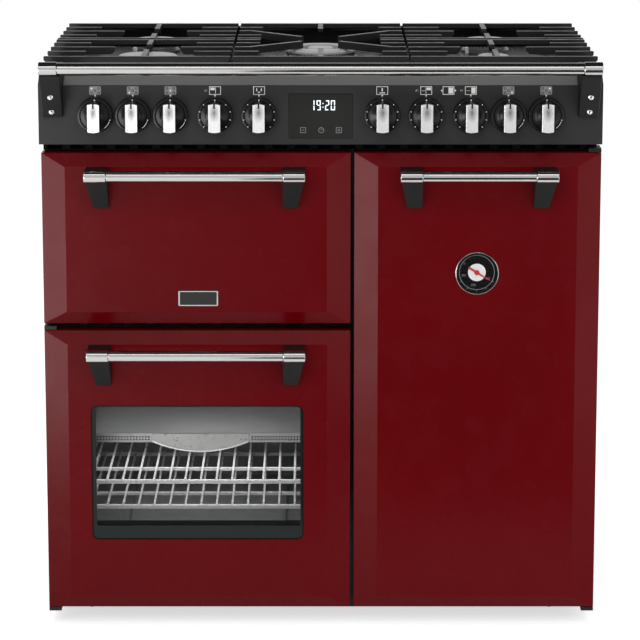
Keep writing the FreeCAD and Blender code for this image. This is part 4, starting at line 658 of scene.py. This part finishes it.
piece("fascia_gas_plates", "cabinet", PRINT_GREY, gas_plates, smooth=FLAT)
piece("fascia_gas_rings", "cabinet", BLACK_AND_PAINTED_SHADE, gas_rings, smooth=FLAT)
piece("fascia_white_marks", "cabinet", PRINT_WHITE, white_marks, smooth=FLAT)
piece("fascia_lamps", "cabinet", LAMP_GREY, lamp_discs)


# Sloping strip between the fascia and the hob

HOB_LOW, HOB_HIGH = box_of("hob_tray")
STRIP_RISE, STRIP_X = mm(13.5, 409)
STRIP_SPAN = (0.03, 0.97)
STRIP_SUNK, STRIP_STAND = mm(0.4, 0.3)


def strip_sheen_face(bm):
    """Painted sheen: a paler grey face over the charcoal strip, from the fascia's top to the hob's rim,
    standing in for the light the sloping sheet catches from above.
    """
    foot, head = Vector((0, FASCIA_FACE, HOB_HIGH.z - STRIP_RISE)), Vector((0, HOB_LOW.y, HOB_HIGH.z))
    out = Vector((0, -STRIP_RISE, HOB_LOW.y - FASCIA_FACE)).normalized()
    low, high = [foot.lerp(head, share) for share in STRIP_SPAN]
    under, over = -out * STRIP_SUNK, out * STRIP_STAND
    ring = (low + under, low + over, high + over, high + under)
    prism(bm, [[(x, p.y, p.z) for p in ring] for x in (-STRIP_X, STRIP_X)])


piece("strip_sheen_face", "cabinet", STRIP_PAINTED_SHEEN, strip_sheen_face, smooth=FLAT)


# Timer

SEGMENTS = {"0": "abcdef", "1": "bc", "2": "abged", "3": "abgcd", "9": "abcdfg"}
TIMER_LOW, TIMER_HIGH = box_of("timer_glass")
TIMER_MID = (TIMER_LOW + TIMER_HIGH) / 2
TIMER_PRINT = (TIMER_LOW.y - PRINT, TIMER_LOW.y + PRINT)
DIGIT_W, DIGIT_H, DIGIT_LINE = mm(6.6, 15.8, 1.5)
CLOCK_X, CLOCK_Z = TIMER_MID.x + 4.4 * MM, TIMER_LOW.z + 52.9 * MM
# Figures and their places right of the clock's middle
CLOCK = (("1", -17.5), ("9", -7.6), ("2", 6), ("0", 15.2))
COLON_W, COLON_HALF, COLON_RISE = mm(1.4, 0.8, 3)
KEY_Z, KEY_SIZE, KEY_LINE = TIMER_LOW.z + 13 * MM, 9 * MM, 0.7 * MM
KEYS_X = mm(-28, 1, 29)
HAND_UP, HAND_ASIDE = 0.6, 0.5


def digit(bm, figure, x, z, w, h, line, y0, y1):
    """One figure of straight strokes."""
    a, b = w / 2, h / 2
    strokes = {
        "a": (line - a, a - line, b - line, b), "g": (line - a, a - line, -line / 2, line / 2),
        "d": (line - a, a - line, -b, line - b), "b": (a - line, a, line / 2, b),
        "c": (a - line, a, -b, -line / 2), "f": (-a, line - a, line / 2, b),
        "e": (-a, line - a, -b, -line / 2),
    }
    for key in SEGMENTS[figure]:
        x0, x1, z0, z1 = strokes[key]
        bar(bm, x + x0, x + x1, y0, y1, z + z0, z + z1)


def clock_figures(bm):
    """Four figures with a colon of two blocks."""
    for figure, offset in CLOCK:
        digit(bm, figure, CLOCK_X + offset * MM, CLOCK_Z, DIGIT_W, DIGIT_H, DIGIT_LINE, *TIMER_PRINT)
    for z in (CLOCK_Z - COLON_RISE, CLOCK_Z + COLON_RISE):
        bar(bm, CLOCK_X - COLON_W, CLOCK_X, *TIMER_PRINT, z - COLON_HALF, z + COLON_HALF)


def timer_keys(bm):
    """Minus and plus in thin frames, with a clock face between them."""
    half, line = KEY_SIZE / 2, KEY_LINE
    minus, clock, plus = [TIMER_MID.x + x for x in KEYS_X]
    for x in (minus, plus):
        frame_mark(bm, x, KEY_Z, KEY_SIZE, KEY_SIZE, line, *TIMER_PRINT)
        bar(bm, x - half / 2, x + half / 2, *TIMER_PRINT, KEY_Z - line / 2, KEY_Z + line / 2)
    for side in (-1, 1):
        ends = sorted((KEY_Z + side * line / 2, KEY_Z + side * half / 2))
        bar(bm, plus - line / 2, plus + line / 2, *TIMER_PRINT, *ends)
    flat_ring(bm, clock, KEY_Z, half, half - line, *TIMER_PRINT, steps=24)
    bar(bm, clock - line / 2, clock + line / 2, *TIMER_PRINT, KEY_Z, KEY_Z + half * HAND_UP)
    bar(bm, clock + line / 2, clock + half * HAND_ASIDE, *TIMER_PRINT, KEY_Z, KEY_Z + line)


piece("timer_figures", "cabinet", DISPLAY, clock_figures, smooth=FLAT)
piece("timer_keys", "cabinet", PRINT_GREY, timer_keys, smooth=FLAT)


# Oven gauge on the tall door

GAUGE = (middle("gauge_case").x, middle("gauge_case").z)
GAUGE_RIM = box_of("gauge_case")[0].y
DIAL = GAUGE_RIM + 9 * MM
DIAL_FACE, DIAL_UNDER = DIAL - 0.2 * MM, DIAL + 0.1 * MM
MARKS_FACE, DISC_FACE = DIAL - 0.35 * MM, DIAL - 0.4 * MM
DIAL_R, DISC_R, DIAL_STEPS = 30.3 * MM, 14.3 * MM, 64
DIAL_RING_R, DIAL_RING_IN = mm(28.7, 27.7)
DIAL_TICK_R, DIAL_TICK_TURNS, DIAL_TICK_HALF = 31 * MM, range(120, 241, 30), 1
MASK_R, MASK_IN, MASK_SEAT = mm(33.2, 30.2, 0.55)
# Numerals and their places from the dial's middle
NUMERALS = (("0", -20.6, 14.8), ("100", -22, -4.7), ("200", -5.8, -20.6), ("300", 17.4, -9.8))
NUMERAL_W, NUMERAL_H, NUMERAL_LINE, NUMERAL_PITCH = mm(2, 3.2, 0.45, 2.6)


def dial_marks(bm):
    """Printed ring, ticks over its lower half and plain numerals."""
    y0, y1 = MARKS_FACE, DIAL_FACE
    flat_ring(bm, *GAUGE, DIAL_RING_R, DIAL_RING_IN, y0, y1, DIAL_STEPS)
    for turn in DIAL_TICK_TURNS:
        ends = turn - DIAL_TICK_HALF, turn + DIAL_TICK_HALF
        arc_plate(bm, *GAUGE, DIAL_RING_R, DIAL_TICK_R, *ends, y0, y1, steps=1)
    for text, dx, dz in NUMERALS:
        for k, figure in enumerate(text):
            x = GAUGE[0] + dx * MM + (k - (len(text) - 1) / 2) * NUMERAL_PITCH
            digit(bm, figure, x, GAUGE[1] + dz * MM, NUMERAL_W, NUMERAL_H, NUMERAL_LINE, y0, y1)


def gauge_mask(bm):
    """Dark ring round the glass, level with the front of the bezel."""
    flat_ring(bm, *GAUGE, MASK_R, MASK_IN, GAUGE_RIM - PRINT, GAUGE_RIM + MASK_SEAT, DIAL_STEPS)


piece("gauge_mask", "tall_door", GLOSS_BLACK, gauge_mask, smooth=FLAT)
piece("gauge_dial", "tall_door", GLOSS_BLACK,
      lambda bm: dot(bm, *GAUGE, DIAL_R, DIAL_FACE, DIAL_UNDER, DIAL_STEPS), FLAT)
piece("gauge_disc", "tall_door", PRINT_WHITE,
      lambda bm: dot(bm, *GAUGE, DISC_R, DISC_FACE, DIAL, steps=48), smooth=FLAT)
piece("gauge_marks", "tall_door", PRINT_GREY, dial_marks, smooth=FLAT)


# Blank badge plate on the drop-down door

BADGE_DOOR = box_of("top_door_panel")[0]
BADGE_ASIDE, BADGE_RISE = mm(2.5, 44)
BADGE = Vector((middle("top_door_panel").x + BADGE_ASIDE, BADGE_DOOR.y, BADGE_DOOR.z + BADGE_RISE))
BADGE_W, BADGE_H = mm(65, 26)
BADGE_CORNER, BADGE_LEAST_CORNER = mm(2.4, 0.6)
# Inset from the outline and depth behind the door's face
BADGE_PROFILE = ((0, 0.3), (0, -1.2), (0.8, -2.2), (2.2, -2.2), (3, -1.4), (3, 0.3), (0, 0.3))
BADGE_PLATE_INSET, BADGE_PLATE_STAND, BADGE_SUNK = mm(2.8, 1, 0.3)


def badge_outline(inset):
    x1, z1 = BADGE_W / 2 - inset, BADGE_H / 2 - inset
    corner = max(BADGE_CORNER - inset / 2, BADGE_LEAST_CORNER)
    return rounded(BADGE.x - x1, BADGE.x + x1, BADGE.z - z1, BADGE.z + z1, corner)


def badge_frame(bm):
    """Raised frame with sloping edges."""
    rows = set_out(BADGE_PROFILE, 0, BADGE.y)
    skin(bm, [[(x, y, z) for x, z in badge_outline(inset)] for inset, y in rows])


def badge_plate(bm):
    slab(bm, badge_outline(BADGE_PLATE_INSET), BADGE.y - BADGE_PLATE_STAND, BADGE.y + BADGE_SUNK)


piece("badge_frame", "top_door", CHROME, badge_frame)
piece("badge_plate", "top_door", CHARCOAL, badge_plate, smooth=FLAT)


# Screws of the rail brackets

# Radius and depth of a domed head, in millimetres before it is scaled
HEAD_PROFILE = ((0, -1.7), (1.6, -1.5), (2.8, -0.8), (3.5, 0.4))
HEAD_SUNK = 1 * MM
CROSS_LONG, CROSS_SHORT, CROSS_FRONT, CROSS_BACK = mm(1.9, 0.4, 1.8, 1.2)
BRACKET_FRONT, BRACKET_RISE = mm(9, 69)
BRACKET_SCREW_IN, BRACKET_SCREWS_Z = 15 * MM, mm(36, 10)
RAIL_SCREW, RAIL_SCREW_SINK = 1.5, 4 * MM


def screw_head(bm, x, y, z, size, sink=0):
    """Domed head that faces the front, its shank sunk in what carries it."""
    back = y + HEAD_SUNK + sink
    dome = set_out([(r * size, d * size) for r, d in HEAD_PROFILE], 0, y)
    lathe(bm, dome + [(dome[-1][0], back), (0, back)], x, z, steps=20)


def screw_cross_shade(bm, x, y, z, size):
    """Painted shade: a dark cross standing proud on a head, in place of the shade in its cross recess."""
    long, short = CROSS_LONG * size, CROSS_SHORT * size
    y0, y1 = y - CROSS_FRONT * size, y - CROSS_BACK * size
    bar(bm, x - long, x + long, y0, y1, z - short, z + short)
    bar(bm, x - short, x + short, y0, y1, z + short, z + long)
    bar(bm, x - short, x + short, y0, y1, z - long, z - short)


def rail_screw_places():
    """Places on the sloping front of each rail bracket."""
    low, high = box_of("rail_brackets")
    foot_y = FASCIA_FACE - BRACKET_FRONT
    slope = (low.y - foot_y) / BRACKET_RISE
    sides = (low.x + BRACKET_SCREW_IN, high.x - BRACKET_SCREW_IN)
    return [(x, foot_y + slope * rise, low.z + rise) for x in sides for rise in BRACKET_SCREWS_Z]


def rail_screws(bm):
    for place in rail_screw_places():
        screw_head(bm, *place, RAIL_SCREW, RAIL_SCREW_SINK)


def rail_screw_recess_shade(bm):
    for place in rail_screw_places():
        screw_cross_shade(bm, *place, RAIL_SCREW)


piece("rail_screws", "cabinet", SATIN_CHROME, rail_screws)
piece("rail_screw_recess_shade", "cabinet", BLACK_AND_PAINTED_SHADE, rail_screw_recess_shade, smooth=FLAT)


# Window print

PANE_LOW, PANE_HIGH = box_of("main_door_glass")
PANE_LAP = 12 * MM
WINDOW = (PANE_LOW.x + PANE_LAP, PANE_HIGH.x - PANE_LAP, PANE_LOW.z + PANE_LAP, PANE_HIGH.z - PANE_LAP)
# Insets of the printed border at the left, right, bottom and top
BORDER = mm(8, 5, 23, 2)
BORDER_LAP, BORDER_CORNER, VIEW_CORNER = mm(3, 12, 4)
BORDER_STAND, BORDER_SUNK = mm(0.05, 0.15)
BEAD_W, BEAD_CORNER, BEAD_IN_CORNER = mm(1.6, 10.5, 9)
BEAD_STAND, BEAD_SUNK = mm(1, 0.1)
SHADE_H, SHADE_LAP, SHADE_BACK, SHADE_T = mm(8, 1, 4.1, 0.6)


def window_line(insets, corner):
    """Outline of the opening, drawn in at its left, right, bottom and top."""
    x0, x1, z0, z1 = WINDOW
    left, right, bottom, top = insets
    return rounded(x0 + left, x1 - right, z0 + bottom, z1 - top, corner)


def window_print(bm):
    """Dark printed border, widest along the bottom."""
    outer, inner = window_line([-BORDER_LAP] * 4, BORDER_CORNER), window_line(BORDER, VIEW_CORNER)
    edge_ring(bm, outer, inner, PANE_LOW.y - BORDER_STAND, PANE_LOW.y + BORDER_SUNK)


def window_gasket(bm):
    """Thin rubber bead round the opening's edge."""
    outer, inner = window_line([0] * 4, BEAD_CORNER), window_line([BEAD_W] * 4, BEAD_IN_CORNER)
    edge_ring(bm, outer, inner, PANE_LOW.y - BEAD_STAND, PANE_LOW.y + BEAD_SUNK)


def window_shade(bm):
    """Painted shade: a dark strip between the panes, over the bottom border, where a dark line shows along
    the inner door's edge.
    """
    x0, x1, z0 = WINDOW[:3]
    y, z = PANE_LOW.y + SHADE_BACK, z0 + BORDER[2]
    bar(bm, x0 - BORDER_LAP, x1 + BORDER_LAP, y, y + SHADE_T, z - SHADE_LAP, z + SHADE_H)


piece("window_shade", "main_door", BLACK_AND_PAINTED_SHADE, window_shade, smooth=FLAT)
piece("window_print", "main_door", PRINT_BLACK, window_print, smooth=FLAT)
piece("window_gasket", "main_door", BLACK_AND_PAINTED_SHADE, window_gasket, FLAT)


# Air-fry tray

TRAY_LOW, TRAY_HIGH = box_of("air_fry_tray")
TRAY_MID_X = (TRAY_LOW.x + TRAY_HIGH.x) / 2
TRAY_FLOOR = TRAY_HIGH.z - 14 * MM
MESH_PITCH, MESH_WIRE = mm(5, 1.5)
MESH_INSET, MESH_FRONT, MESH_BACK = mm(10.5, 4, 2)
PLATE_HALF, PLATE_OVER = mm(80, 0.5)
ROLL_W, ROLL_STAND, ROLL_SUNK = mm(2.4, 1.2, 0.4)
HOLES, HOLE_ROWS, HOLE_Y = 21, mm(3.5, 8), TRAY_LOW.y + 1.5 * MM
HOLE_START, HOLE_PITCH, HOLE_HALF, HOLE_DEPTH = mm(86, 5, 1.4, 0.1)


def tray_mesh(bm):
    """Woven wire mat on the tray's slotted floor."""
    x0, x1 = TRAY_LOW.x + MESH_INSET, TRAY_HIGH.x - MESH_INSET
    y0, y1 = TRAY_LOW.y + MESH_FRONT, TRAY_HIGH.y - MESH_BACK
    z = TRAY_FLOOR + MESH_WIRE / 2
    for k in range(int((x1 - x0) / MESH_PITCH) + 1):
        x = x0 + k * MESH_PITCH
        beam(bm, (x, y0, z), (x, y1, z), MESH_WIRE, MESH_WIRE)
    for k in range(int((y1 - y0) / MESH_PITCH) + 1):
        y = y0 + k * MESH_PITCH
        beam(bm, (x0, y, z + MESH_WIRE), (x1, y, z + MESH_WIRE), MESH_WIRE, MESH_WIRE)


def tray_plate_edge(bm):
    """Rolled edge along the curved bottom of the front plate."""
    drop = TRAY_FLOOR + PLATE_OVER - TRAY_LOW.z
    radius = (PLATE_HALF ** 2 + drop ** 2) / (2 * drop)
    reach = math.degrees(math.asin(PLATE_HALF / radius))
    arc_plate(bm, TRAY_MID_X, TRAY_LOW.z + radius, radius, radius - ROLL_W, 180 + reach, 180 - reach,
              TRAY_LOW.y - ROLL_STAND, TRAY_LOW.y + ROLL_SUNK, steps=24)


def tray_front_hole_shade(bm):
    """Painted shade: rows of dark squares along the tray's front wall, left and right of the plate, in place
    of small holes and the shade inside them.
    """
    for side in (-1, 1):
        for k in range(HOLES):
            x = TRAY_MID_X + side * (HOLE_START + k * HOLE_PITCH)
            for row in HOLE_ROWS:
                z = TRAY_FLOOR + row
                bar(bm, x - HOLE_HALF, x + HOLE_HALF, HOLE_Y - HOLE_DEPTH, HOLE_Y + HOLE_DEPTH,
                    z - HOLE_HALF, z + HOLE_HALF)


piece("tray_mesh", "cabinet", TRAY_MESH, tray_mesh, FLAT)
piece("tray_plate_edge", "cabinet", WIRE_STEEL, tray_plate_edge)
piece("tray_front_hole_shade", "cabinet", BLACK_AND_PAINTED_SHADE, tray_front_hole_shade, smooth=FLAT)


# Burners

FRONT_Y, REAR_Y, WOK_Y, SIDE_X = mm(-78, 160, 36, 285)
# Place and crown radius of each burner
BURNERS = {
    "left_front": (-SIDE_X, FRONT_Y, 49 * MM),
    "left_rear": (-SIDE_X, REAR_Y, 36 * MM),
    "right_front": (SIDE_X, FRONT_Y, 26 * MM),
    "right_rear": (SIDE_X, REAR_Y, 36 * MM),
    "wok": (0, WOK_Y, 60 * MM),
}
WOK_CENTRE_R, WOK_RING_IN = mm(22, 37.4)
CROWN_H, FOOT_H = mm(9, 6)
CROWN_TOP, CAP_TOP = box_of("burner_caps")[0].z, box_of("burner_caps")[1].z
CROWN_LOW = CROWN_TOP - CROWN_H
HOB_FLOOR = CROWN_LOW - FOOT_H
CAP_OVER, CAP_UNDER, CAP_DISH, WOK_UNDER = mm(0.7, 1, 0.2, 0.3)
# Set out from the cap's edge and the crown's top, its edge and top, the wok ring's hole and top
CAP_SIDE = ((0, 0.2), (0, 3.2))
CAP_DOME = ((-1.2, -1.2), (-3.6, 0.4), (-7, 0.6), (-9, 0.2))
WOK_HOLE = ((3, 0.6), (0, -0.8))
FLANGE_OUT, FLANGE_IN, FLANGE_SLOPE = mm(5.6, 2.6, 2.4)
FLANGE_LOW, FLANGE_EDGE, FLANGE_TOP = HOB_FLOOR + 0.2 * MM, HOB_FLOOR + 3.6 * MM, CROWN_LOW + 0.4 * MM
PORT_INSET, PORT_PITCH, PORT_RISE = mm(2.9, 6, 5)
PORT_W, PORT_H, PORT_SUNK, PORT_STAND = mm(1.6, 5.5, 0.6, 0.3)


def cap_skin(bm, x, y, r):
    """Smooth enamelled cap with a rounded edge and a shallow dish."""
    edge = r + CAP_OVER
    side, dome = set_out(CAP_SIDE, edge, CROWN_TOP), set_out(CAP_DOME, edge, CAP_TOP)
    lathe_z(bm, [(0, CROWN_TOP + CAP_UNDER), *side, *dome, (0, CAP_TOP + CAP_DISH)], x, y)


def wok_ring(bm, x, y, r):
    """Ring-shaped cap of the wok burner."""
    edge, foot = r + CAP_OVER, (WOK_RING_IN, CROWN_TOP + WOK_UNDER)
    side, shoulder = set_out(CAP_SIDE, edge, CROWN_TOP), set_out(CAP_DOME[1:2], edge, CAP_TOP)
    lathe_z(bm, [foot, *side, *shoulder, *set_out(WOK_HOLE, WOK_RING_IN, CAP_TOP), foot], x, y)


def flange_skin(bm, x, y, r):
    """Turned ring round the burner's foot."""
    foot, crown = r + FLANGE_OUT, r - FLANGE_IN
    lathe_z(bm, [(crown, FLANGE_LOW), (foot, FLANGE_LOW), (foot, FLANGE_EDGE),
                 (foot - FLANGE_SLOPE, FLANGE_TOP), (crown, FLANGE_TOP), (crown, FLANGE_LOW)], x, y)


def flame_port_shade(bm, x, y, r):
    """Painted shade: dark bars all round the crown's wall, in place of the flame ports and the shade inside
    them.
    """
    crown = r - PORT_INSET
    count = int(FULL_TURN * crown / PORT_PITCH)
    for k in range(count):
        out = Vector((*around(0, 0, 1, FULL_TURN * k / count), 0))
        at = Vector((x, y, CROWN_LOW + PORT_RISE)) + out * crown
        beam(bm, at - out * PORT_SUNK, at + out * PORT_STAND, PORT_W, PORT_H)


def dress_burner(name, x, y, r):
    """Cap, foot ring and painted shade of the flame ports of one burner."""
    cap = wok_ring if name == "wok" else cap_skin
    piece("burner_cap_" + name, "cabinet", CAP_GREY, lambda bm: cap(bm, x, y, r), ROUND)
    piece("burner_foot_" + name, "cabinet", BURNER_ALLOY, lambda bm: flange_skin(bm, x, y, r),
          ROUND)
    piece("burner_port_shade_" + name, "cabinet", BLACK_AND_PAINTED_SHADE, lambda bm: flame_port_shade(bm, x, y, r), smooth=FLAT)


for burner_name, burner in BURNERS.items():
    dress_burner(burner_name, *burner)
piece("burner_cap_wok_centre", "cabinet", CAP_GREY, lambda bm: cap_skin(bm, 0, WOK_Y, WOK_CENTRE_R),
      ROUND)


# Folded strip along the hob's back edge

UPSTAND_H, UPSTAND_LIP, UPSTAND_T, UPSTAND_SUNK = mm(19, 12, 1.5, 1)


def upstand(bm):
    """Upright sheet with its top folded forwards."""
    back, low = HOB_HIGH.y, HOB_HIGH.z - UPSTAND_SUNK
    top, lip = low + UPSTAND_H, back - UPSTAND_LIP
    section = ((back - UPSTAND_T, low), (back, low), (back, top), (lip, top), (lip, top - UPSTAND_T),
               (back - UPSTAND_T, top - UPSTAND_T))
    prism(bm, [[(x, y, z) for y, z in section] for x in (HOB_LOW.x, HOB_HIGH.x)])


piece("hob_upstand", "cabinet", GLOSS_BLACK, upstand, FLAT)


# Fixings at the back and in the ovens

BACK_LOW, BACK_HIGH = box_of("back_panel")
TERMINAL_X, TERMINAL_Z = BACK_LOW.x + 110 * MM, 120 * MM
TERMINAL_W, TERMINAL_H, TERMINAL_INSET = mm(110, 80, 14)
TERMINAL_FLOOR = BACK_HIGH.y - 32 * MM
# Radius and depth behind what carries the head
REAR_HEAD = ((0, -1), (3.4, -1), (3.4, 0.5), (2.4, 1.4), (0, 1.7))
COVER_SCREW, COVER_SCREW_R, COVER_SCREW_TURNS = 0.9, 92 * MM, (0, 120, 240)
LINER_SCREW_X, LINER_SCREW_Z, LINER_SCREW_SUNK = mm(26, 60, 0.2)


def rear_heads(bm, x0, x1, y, z0, z1):
    """A domed head that faces the back at each corner of a rectangle."""
    for x in (x0, x1):
        for z in (z0, z1):
            lathe(bm, set_out(REAR_HEAD, 0, y), x, z, steps=16)


def terminal_screws(bm):
    """A head in each corner of the sunk terminal box."""
    rear_heads(bm, TERMINAL_X + TERMINAL_INSET, TERMINAL_X + TERMINAL_W - TERMINAL_INSET, TERMINAL_FLOOR,
               TERMINAL_Z + TERMINAL_INSET, TERMINAL_Z + TERMINAL_H - TERMINAL_INSET)


def cover_screws(bm):
    """Three heads on each fan cover."""
    y = box_of("fan_covers")[0].y
    for fan in ("main_oven_fan", "tall_oven_fan"):
        hub = middle(fan)
        for turn in COVER_SCREW_TURNS:
            x, z = around(hub.x, hub.z, COVER_SCREW_R, math.radians(turn))
            screw_head(bm, x, y, z, COVER_SCREW)


def liner_screws(door):
    """Heads along the edges of a door's inner sheet, seen with the door open."""
    low, high = box_of(door + "_liner")
    spots = (low.x + LINER_SCREW_X, high.x - LINER_SCREW_X, high.y - LINER_SCREW_SUNK,
             low.z + LINER_SCREW_Z, high.z - LINER_SCREW_Z)
    piece(door + "_liner_screws", door, SATIN_CHROME, lambda bm: rear_heads(bm, *spots))


piece("terminal_screws", "cabinet", SATIN_CHROME, terminal_screws)
piece("fan_cover_screws", "cabinet", SATIN_CHROME, cover_screws)
for door in ("top_door", "main_door", "tall_door"):
    liner_screws(door)


# Pressing in the main oven's floor

# Insets at the left, right, front and back
PRESSING_INSETS = mm(89, 71, 26, 40)
PRESSING_Z, PRESSING_CORNER = mm(15.5, 26)
# Inset from the outline and rise over the floor
PRESSING_PROFILE = ((0, -0.4), (0, 0.2), (3, 6.5), (7, 7.8))


def floor_pressing(bm):
    """Raised field with sloping ends."""
    low, high = box_of("main_oven_liner")
    left, right, front, back = PRESSING_INSETS
    x0, x1, y0, y1 = low.x + left, high.x - right, low.y + front, high.y - back
    rings = []
    for inset, z in set_out(PRESSING_PROFILE, 0, low.z + PRESSING_Z):
        line = rounded(x0 + inset, x1 - inset, y0 + inset, y1 - inset, PRESSING_CORNER - inset)
        rings.append([(x, y, z) for x, y in line])
    prism(bm, rings)


piece("oven_floor_pressing", "cabinet", OVEN_ENAMEL, floor_pressing, ROUND)


# Camera, light and stage

CAMERA_PLACE = (-0.001, -4.859, 1.4905)
CAMERA_PITCH = math.radians(10.969)
CAMERA_LENS, CAMERA_SHIFT = 163.6, -0.08
WORLD_LIGHT = 0.45
FLOOR_SIZE, FLOOR_DROP, FLOOR_GLOW = 8, 0.5 * MM, 0.64
FLOOR_LOW, FLOOR_HIGH, FLOOR_CLOUD, FLOOR_ROUGH = grey(0.86), grey(0.88), 3, 0.9
FLAG_COLOUR, FLAG_ROUGH = grey(0.012), 0.8
# The overhead flag darkens tube tops and upward faces, the floor card the tall door
FLAG_SIDES, FLAG_ENDS, FLAG_Z = (-6, 6), (-4.9, 4), 3.4
CARD_SIDES, CARD_ENDS, CARD_Z = (-0.15, 1), (-5, -0.9), 0.004
# The oven's lamps hang behind the window's top and under the tray
OVEN_LAMP = (middle("main_oven_liner").x, box_of("main_oven_liner")[0].y + 20 * MM, PANE_HIGH.z + 12 * MM)
UNDER_TRAY = (middle("air_fry_tray").x, middle("air_fry_tray").y - 90 * MM, TRAY_LOW.z - 6 * MM)


def add_camera():
    data = bpy.data.cameras.new("camera")
    data.lens = CAMERA_LENS
    data.shift_y = CAMERA_SHIFT
    camera = new_object("camera", data)
    camera.location = CAMERA_PLACE
    camera.rotation_euler = (math.pi / 2 - CAMERA_PITCH, 0, 0)
    bpy.context.scene.camera = camera


def add_lamp(name, place, aim, size, power, mirrored=True, diffuse=True):
    """A soft box that points at a place, left out of mirrors or seen in mirrors alone if asked."""
    data = bpy.data.lights.new(name, "AREA")
    data.shape = "RECTANGLE"
    data.size, data.size_y = size
    data.energy = power
    lamp = new_object(name, data)
    lamp.location = place
    lamp.visible_camera = False
    lamp.visible_glossy = mirrored
    lamp.visible_diffuse = diffuse
    lamp.rotation_euler = (Vector(aim) - Vector(place)).to_track_quat("-Z", "Y").to_euler()


def seen_level(owner, unseen, seen):
    """A strength for light that spreads, and one for rays from the eye, from mirrors and through glass."""
    path = add(owner, "ShaderNodeLightPath")
    share = path.outputs["Is Camera Ray"]
    for kind in ("Is Glossy Ray", "Is Transmission Ray"):
        most = add(owner, "ShaderNodeMath")
        most.operation = "MAXIMUM"
        wire(share, most.inputs[0])
        wire(path.outputs[kind], most.inputs[1])
        share = most.outputs["Value"]
    level = add(owner, "ShaderNodeMapRange", To_Min=unseen, To_Max=seen)
    wire(share, level.inputs["Value"])
    return level.outputs["Result"]


def floor_material():
    """Pale and matt, with a glow that only the eye, mirrors and glass see."""
    material, sockets = new_material("floor")
    tone = ramp(material, noise(material, FLOOR_CLOUD), FLOOR_LOW, FLOOR_HIGH)
    wire(tone, sockets["Base Color"])
    sockets["Roughness"].default_value = FLOOR_ROUGH
    sockets["Specular IOR Level"].default_value = 0
    sockets["Emission Color"].default_value = WHITE
    wire(seen_level(material, 0, FLOOR_GLOW), sockets["Emission Strength"])
    return material


def level_sheet(name, sides, ends, z, material):
    """A flat level stage piece between two places along X and two along Y."""
    mesh = bpy.data.meshes.new(name)
    mesh.from_pydata([(x, y, z) for y in ends for x in sides], [], [(0, 1, 3, 2)])
    mesh.materials.append(material)
    return new_object(name, mesh)


def add_floor():
    """Floor just under the feet, white to the eye but for the object's soft shadow."""
    span = (-FLOOR_SIZE, FLOOR_SIZE)
    floor = level_sheet("floor", span, span, 0, floor_material())
    floor.location.z = CAD_LOW[2] - FLOOR_DROP


def add_world():
    """White to the eye and in glass and metal, soft grey as a light."""
    world = bpy.data.worlds.new("studio")
    bpy.context.scene.world = world
    world.use_nodes = True
    sockets = world.node_tree.nodes["Background"].inputs
    wire(seen_level(world, WORLD_LIGHT, 1), sockets["Strength"])
    sockets["Color"].default_value = WHITE


def add_flag(name, sides, ends, z):
    """Dark level panel that only mirrors see."""
    flag = level_sheet(name, sides, ends, z, coated(name, FLAG_COLOUR, FLAG_ROUGH))
    flag.visible_camera = False
    flag.visible_diffuse = False
    flag.visible_transmission = False
    flag.visible_shadow = False


add_camera()
add_world()
add_floor()
add_flag("flag", FLAG_SIDES, FLAG_ENDS, FLAG_Z)
add_flag("floor_flag", CARD_SIDES, CARD_ENDS, CARD_Z)
add_lamp("key", place=(-1.1, -3.6, 2.2), aim=(0, 0, 0.5), size=(1.8, 1), power=30, mirrored=False)
add_lamp("strip", place=(0, -2.2, 2.5), aim=(0, -0.3, 0.65), size=(2.4, 0.6), power=13)
add_lamp("left_panel", place=(-1.1, -1.55, 0.42), aim=(0, -1, 0.42), size=(1.3, 0.84), power=34,
         diffuse=False)
add_lamp("right_panel", place=(1.15, -1.6, 0.42), aim=(0, -1, 0.42), size=(1.3, 0.84), power=5)
add_lamp("top", place=(0, -0.2, 3), aim=(0, 0, 0.8), size=(2, 1.4), power=22, mirrored=False)
add_lamp("oven", place=OVEN_LAMP, aim=(OVEN_LAMP[0], 0, 0.1), size=(0.3, 0.04), power=0.9, mirrored=False)
add_lamp("oven_floor", place=UNDER_TRAY, aim=(*UNDER_TRAY[:2], 0), size=(0.34, 0.14), power=0.36,
         mirrored=False)
bpy.context.scene.view_settings.view_transform = "Standard"
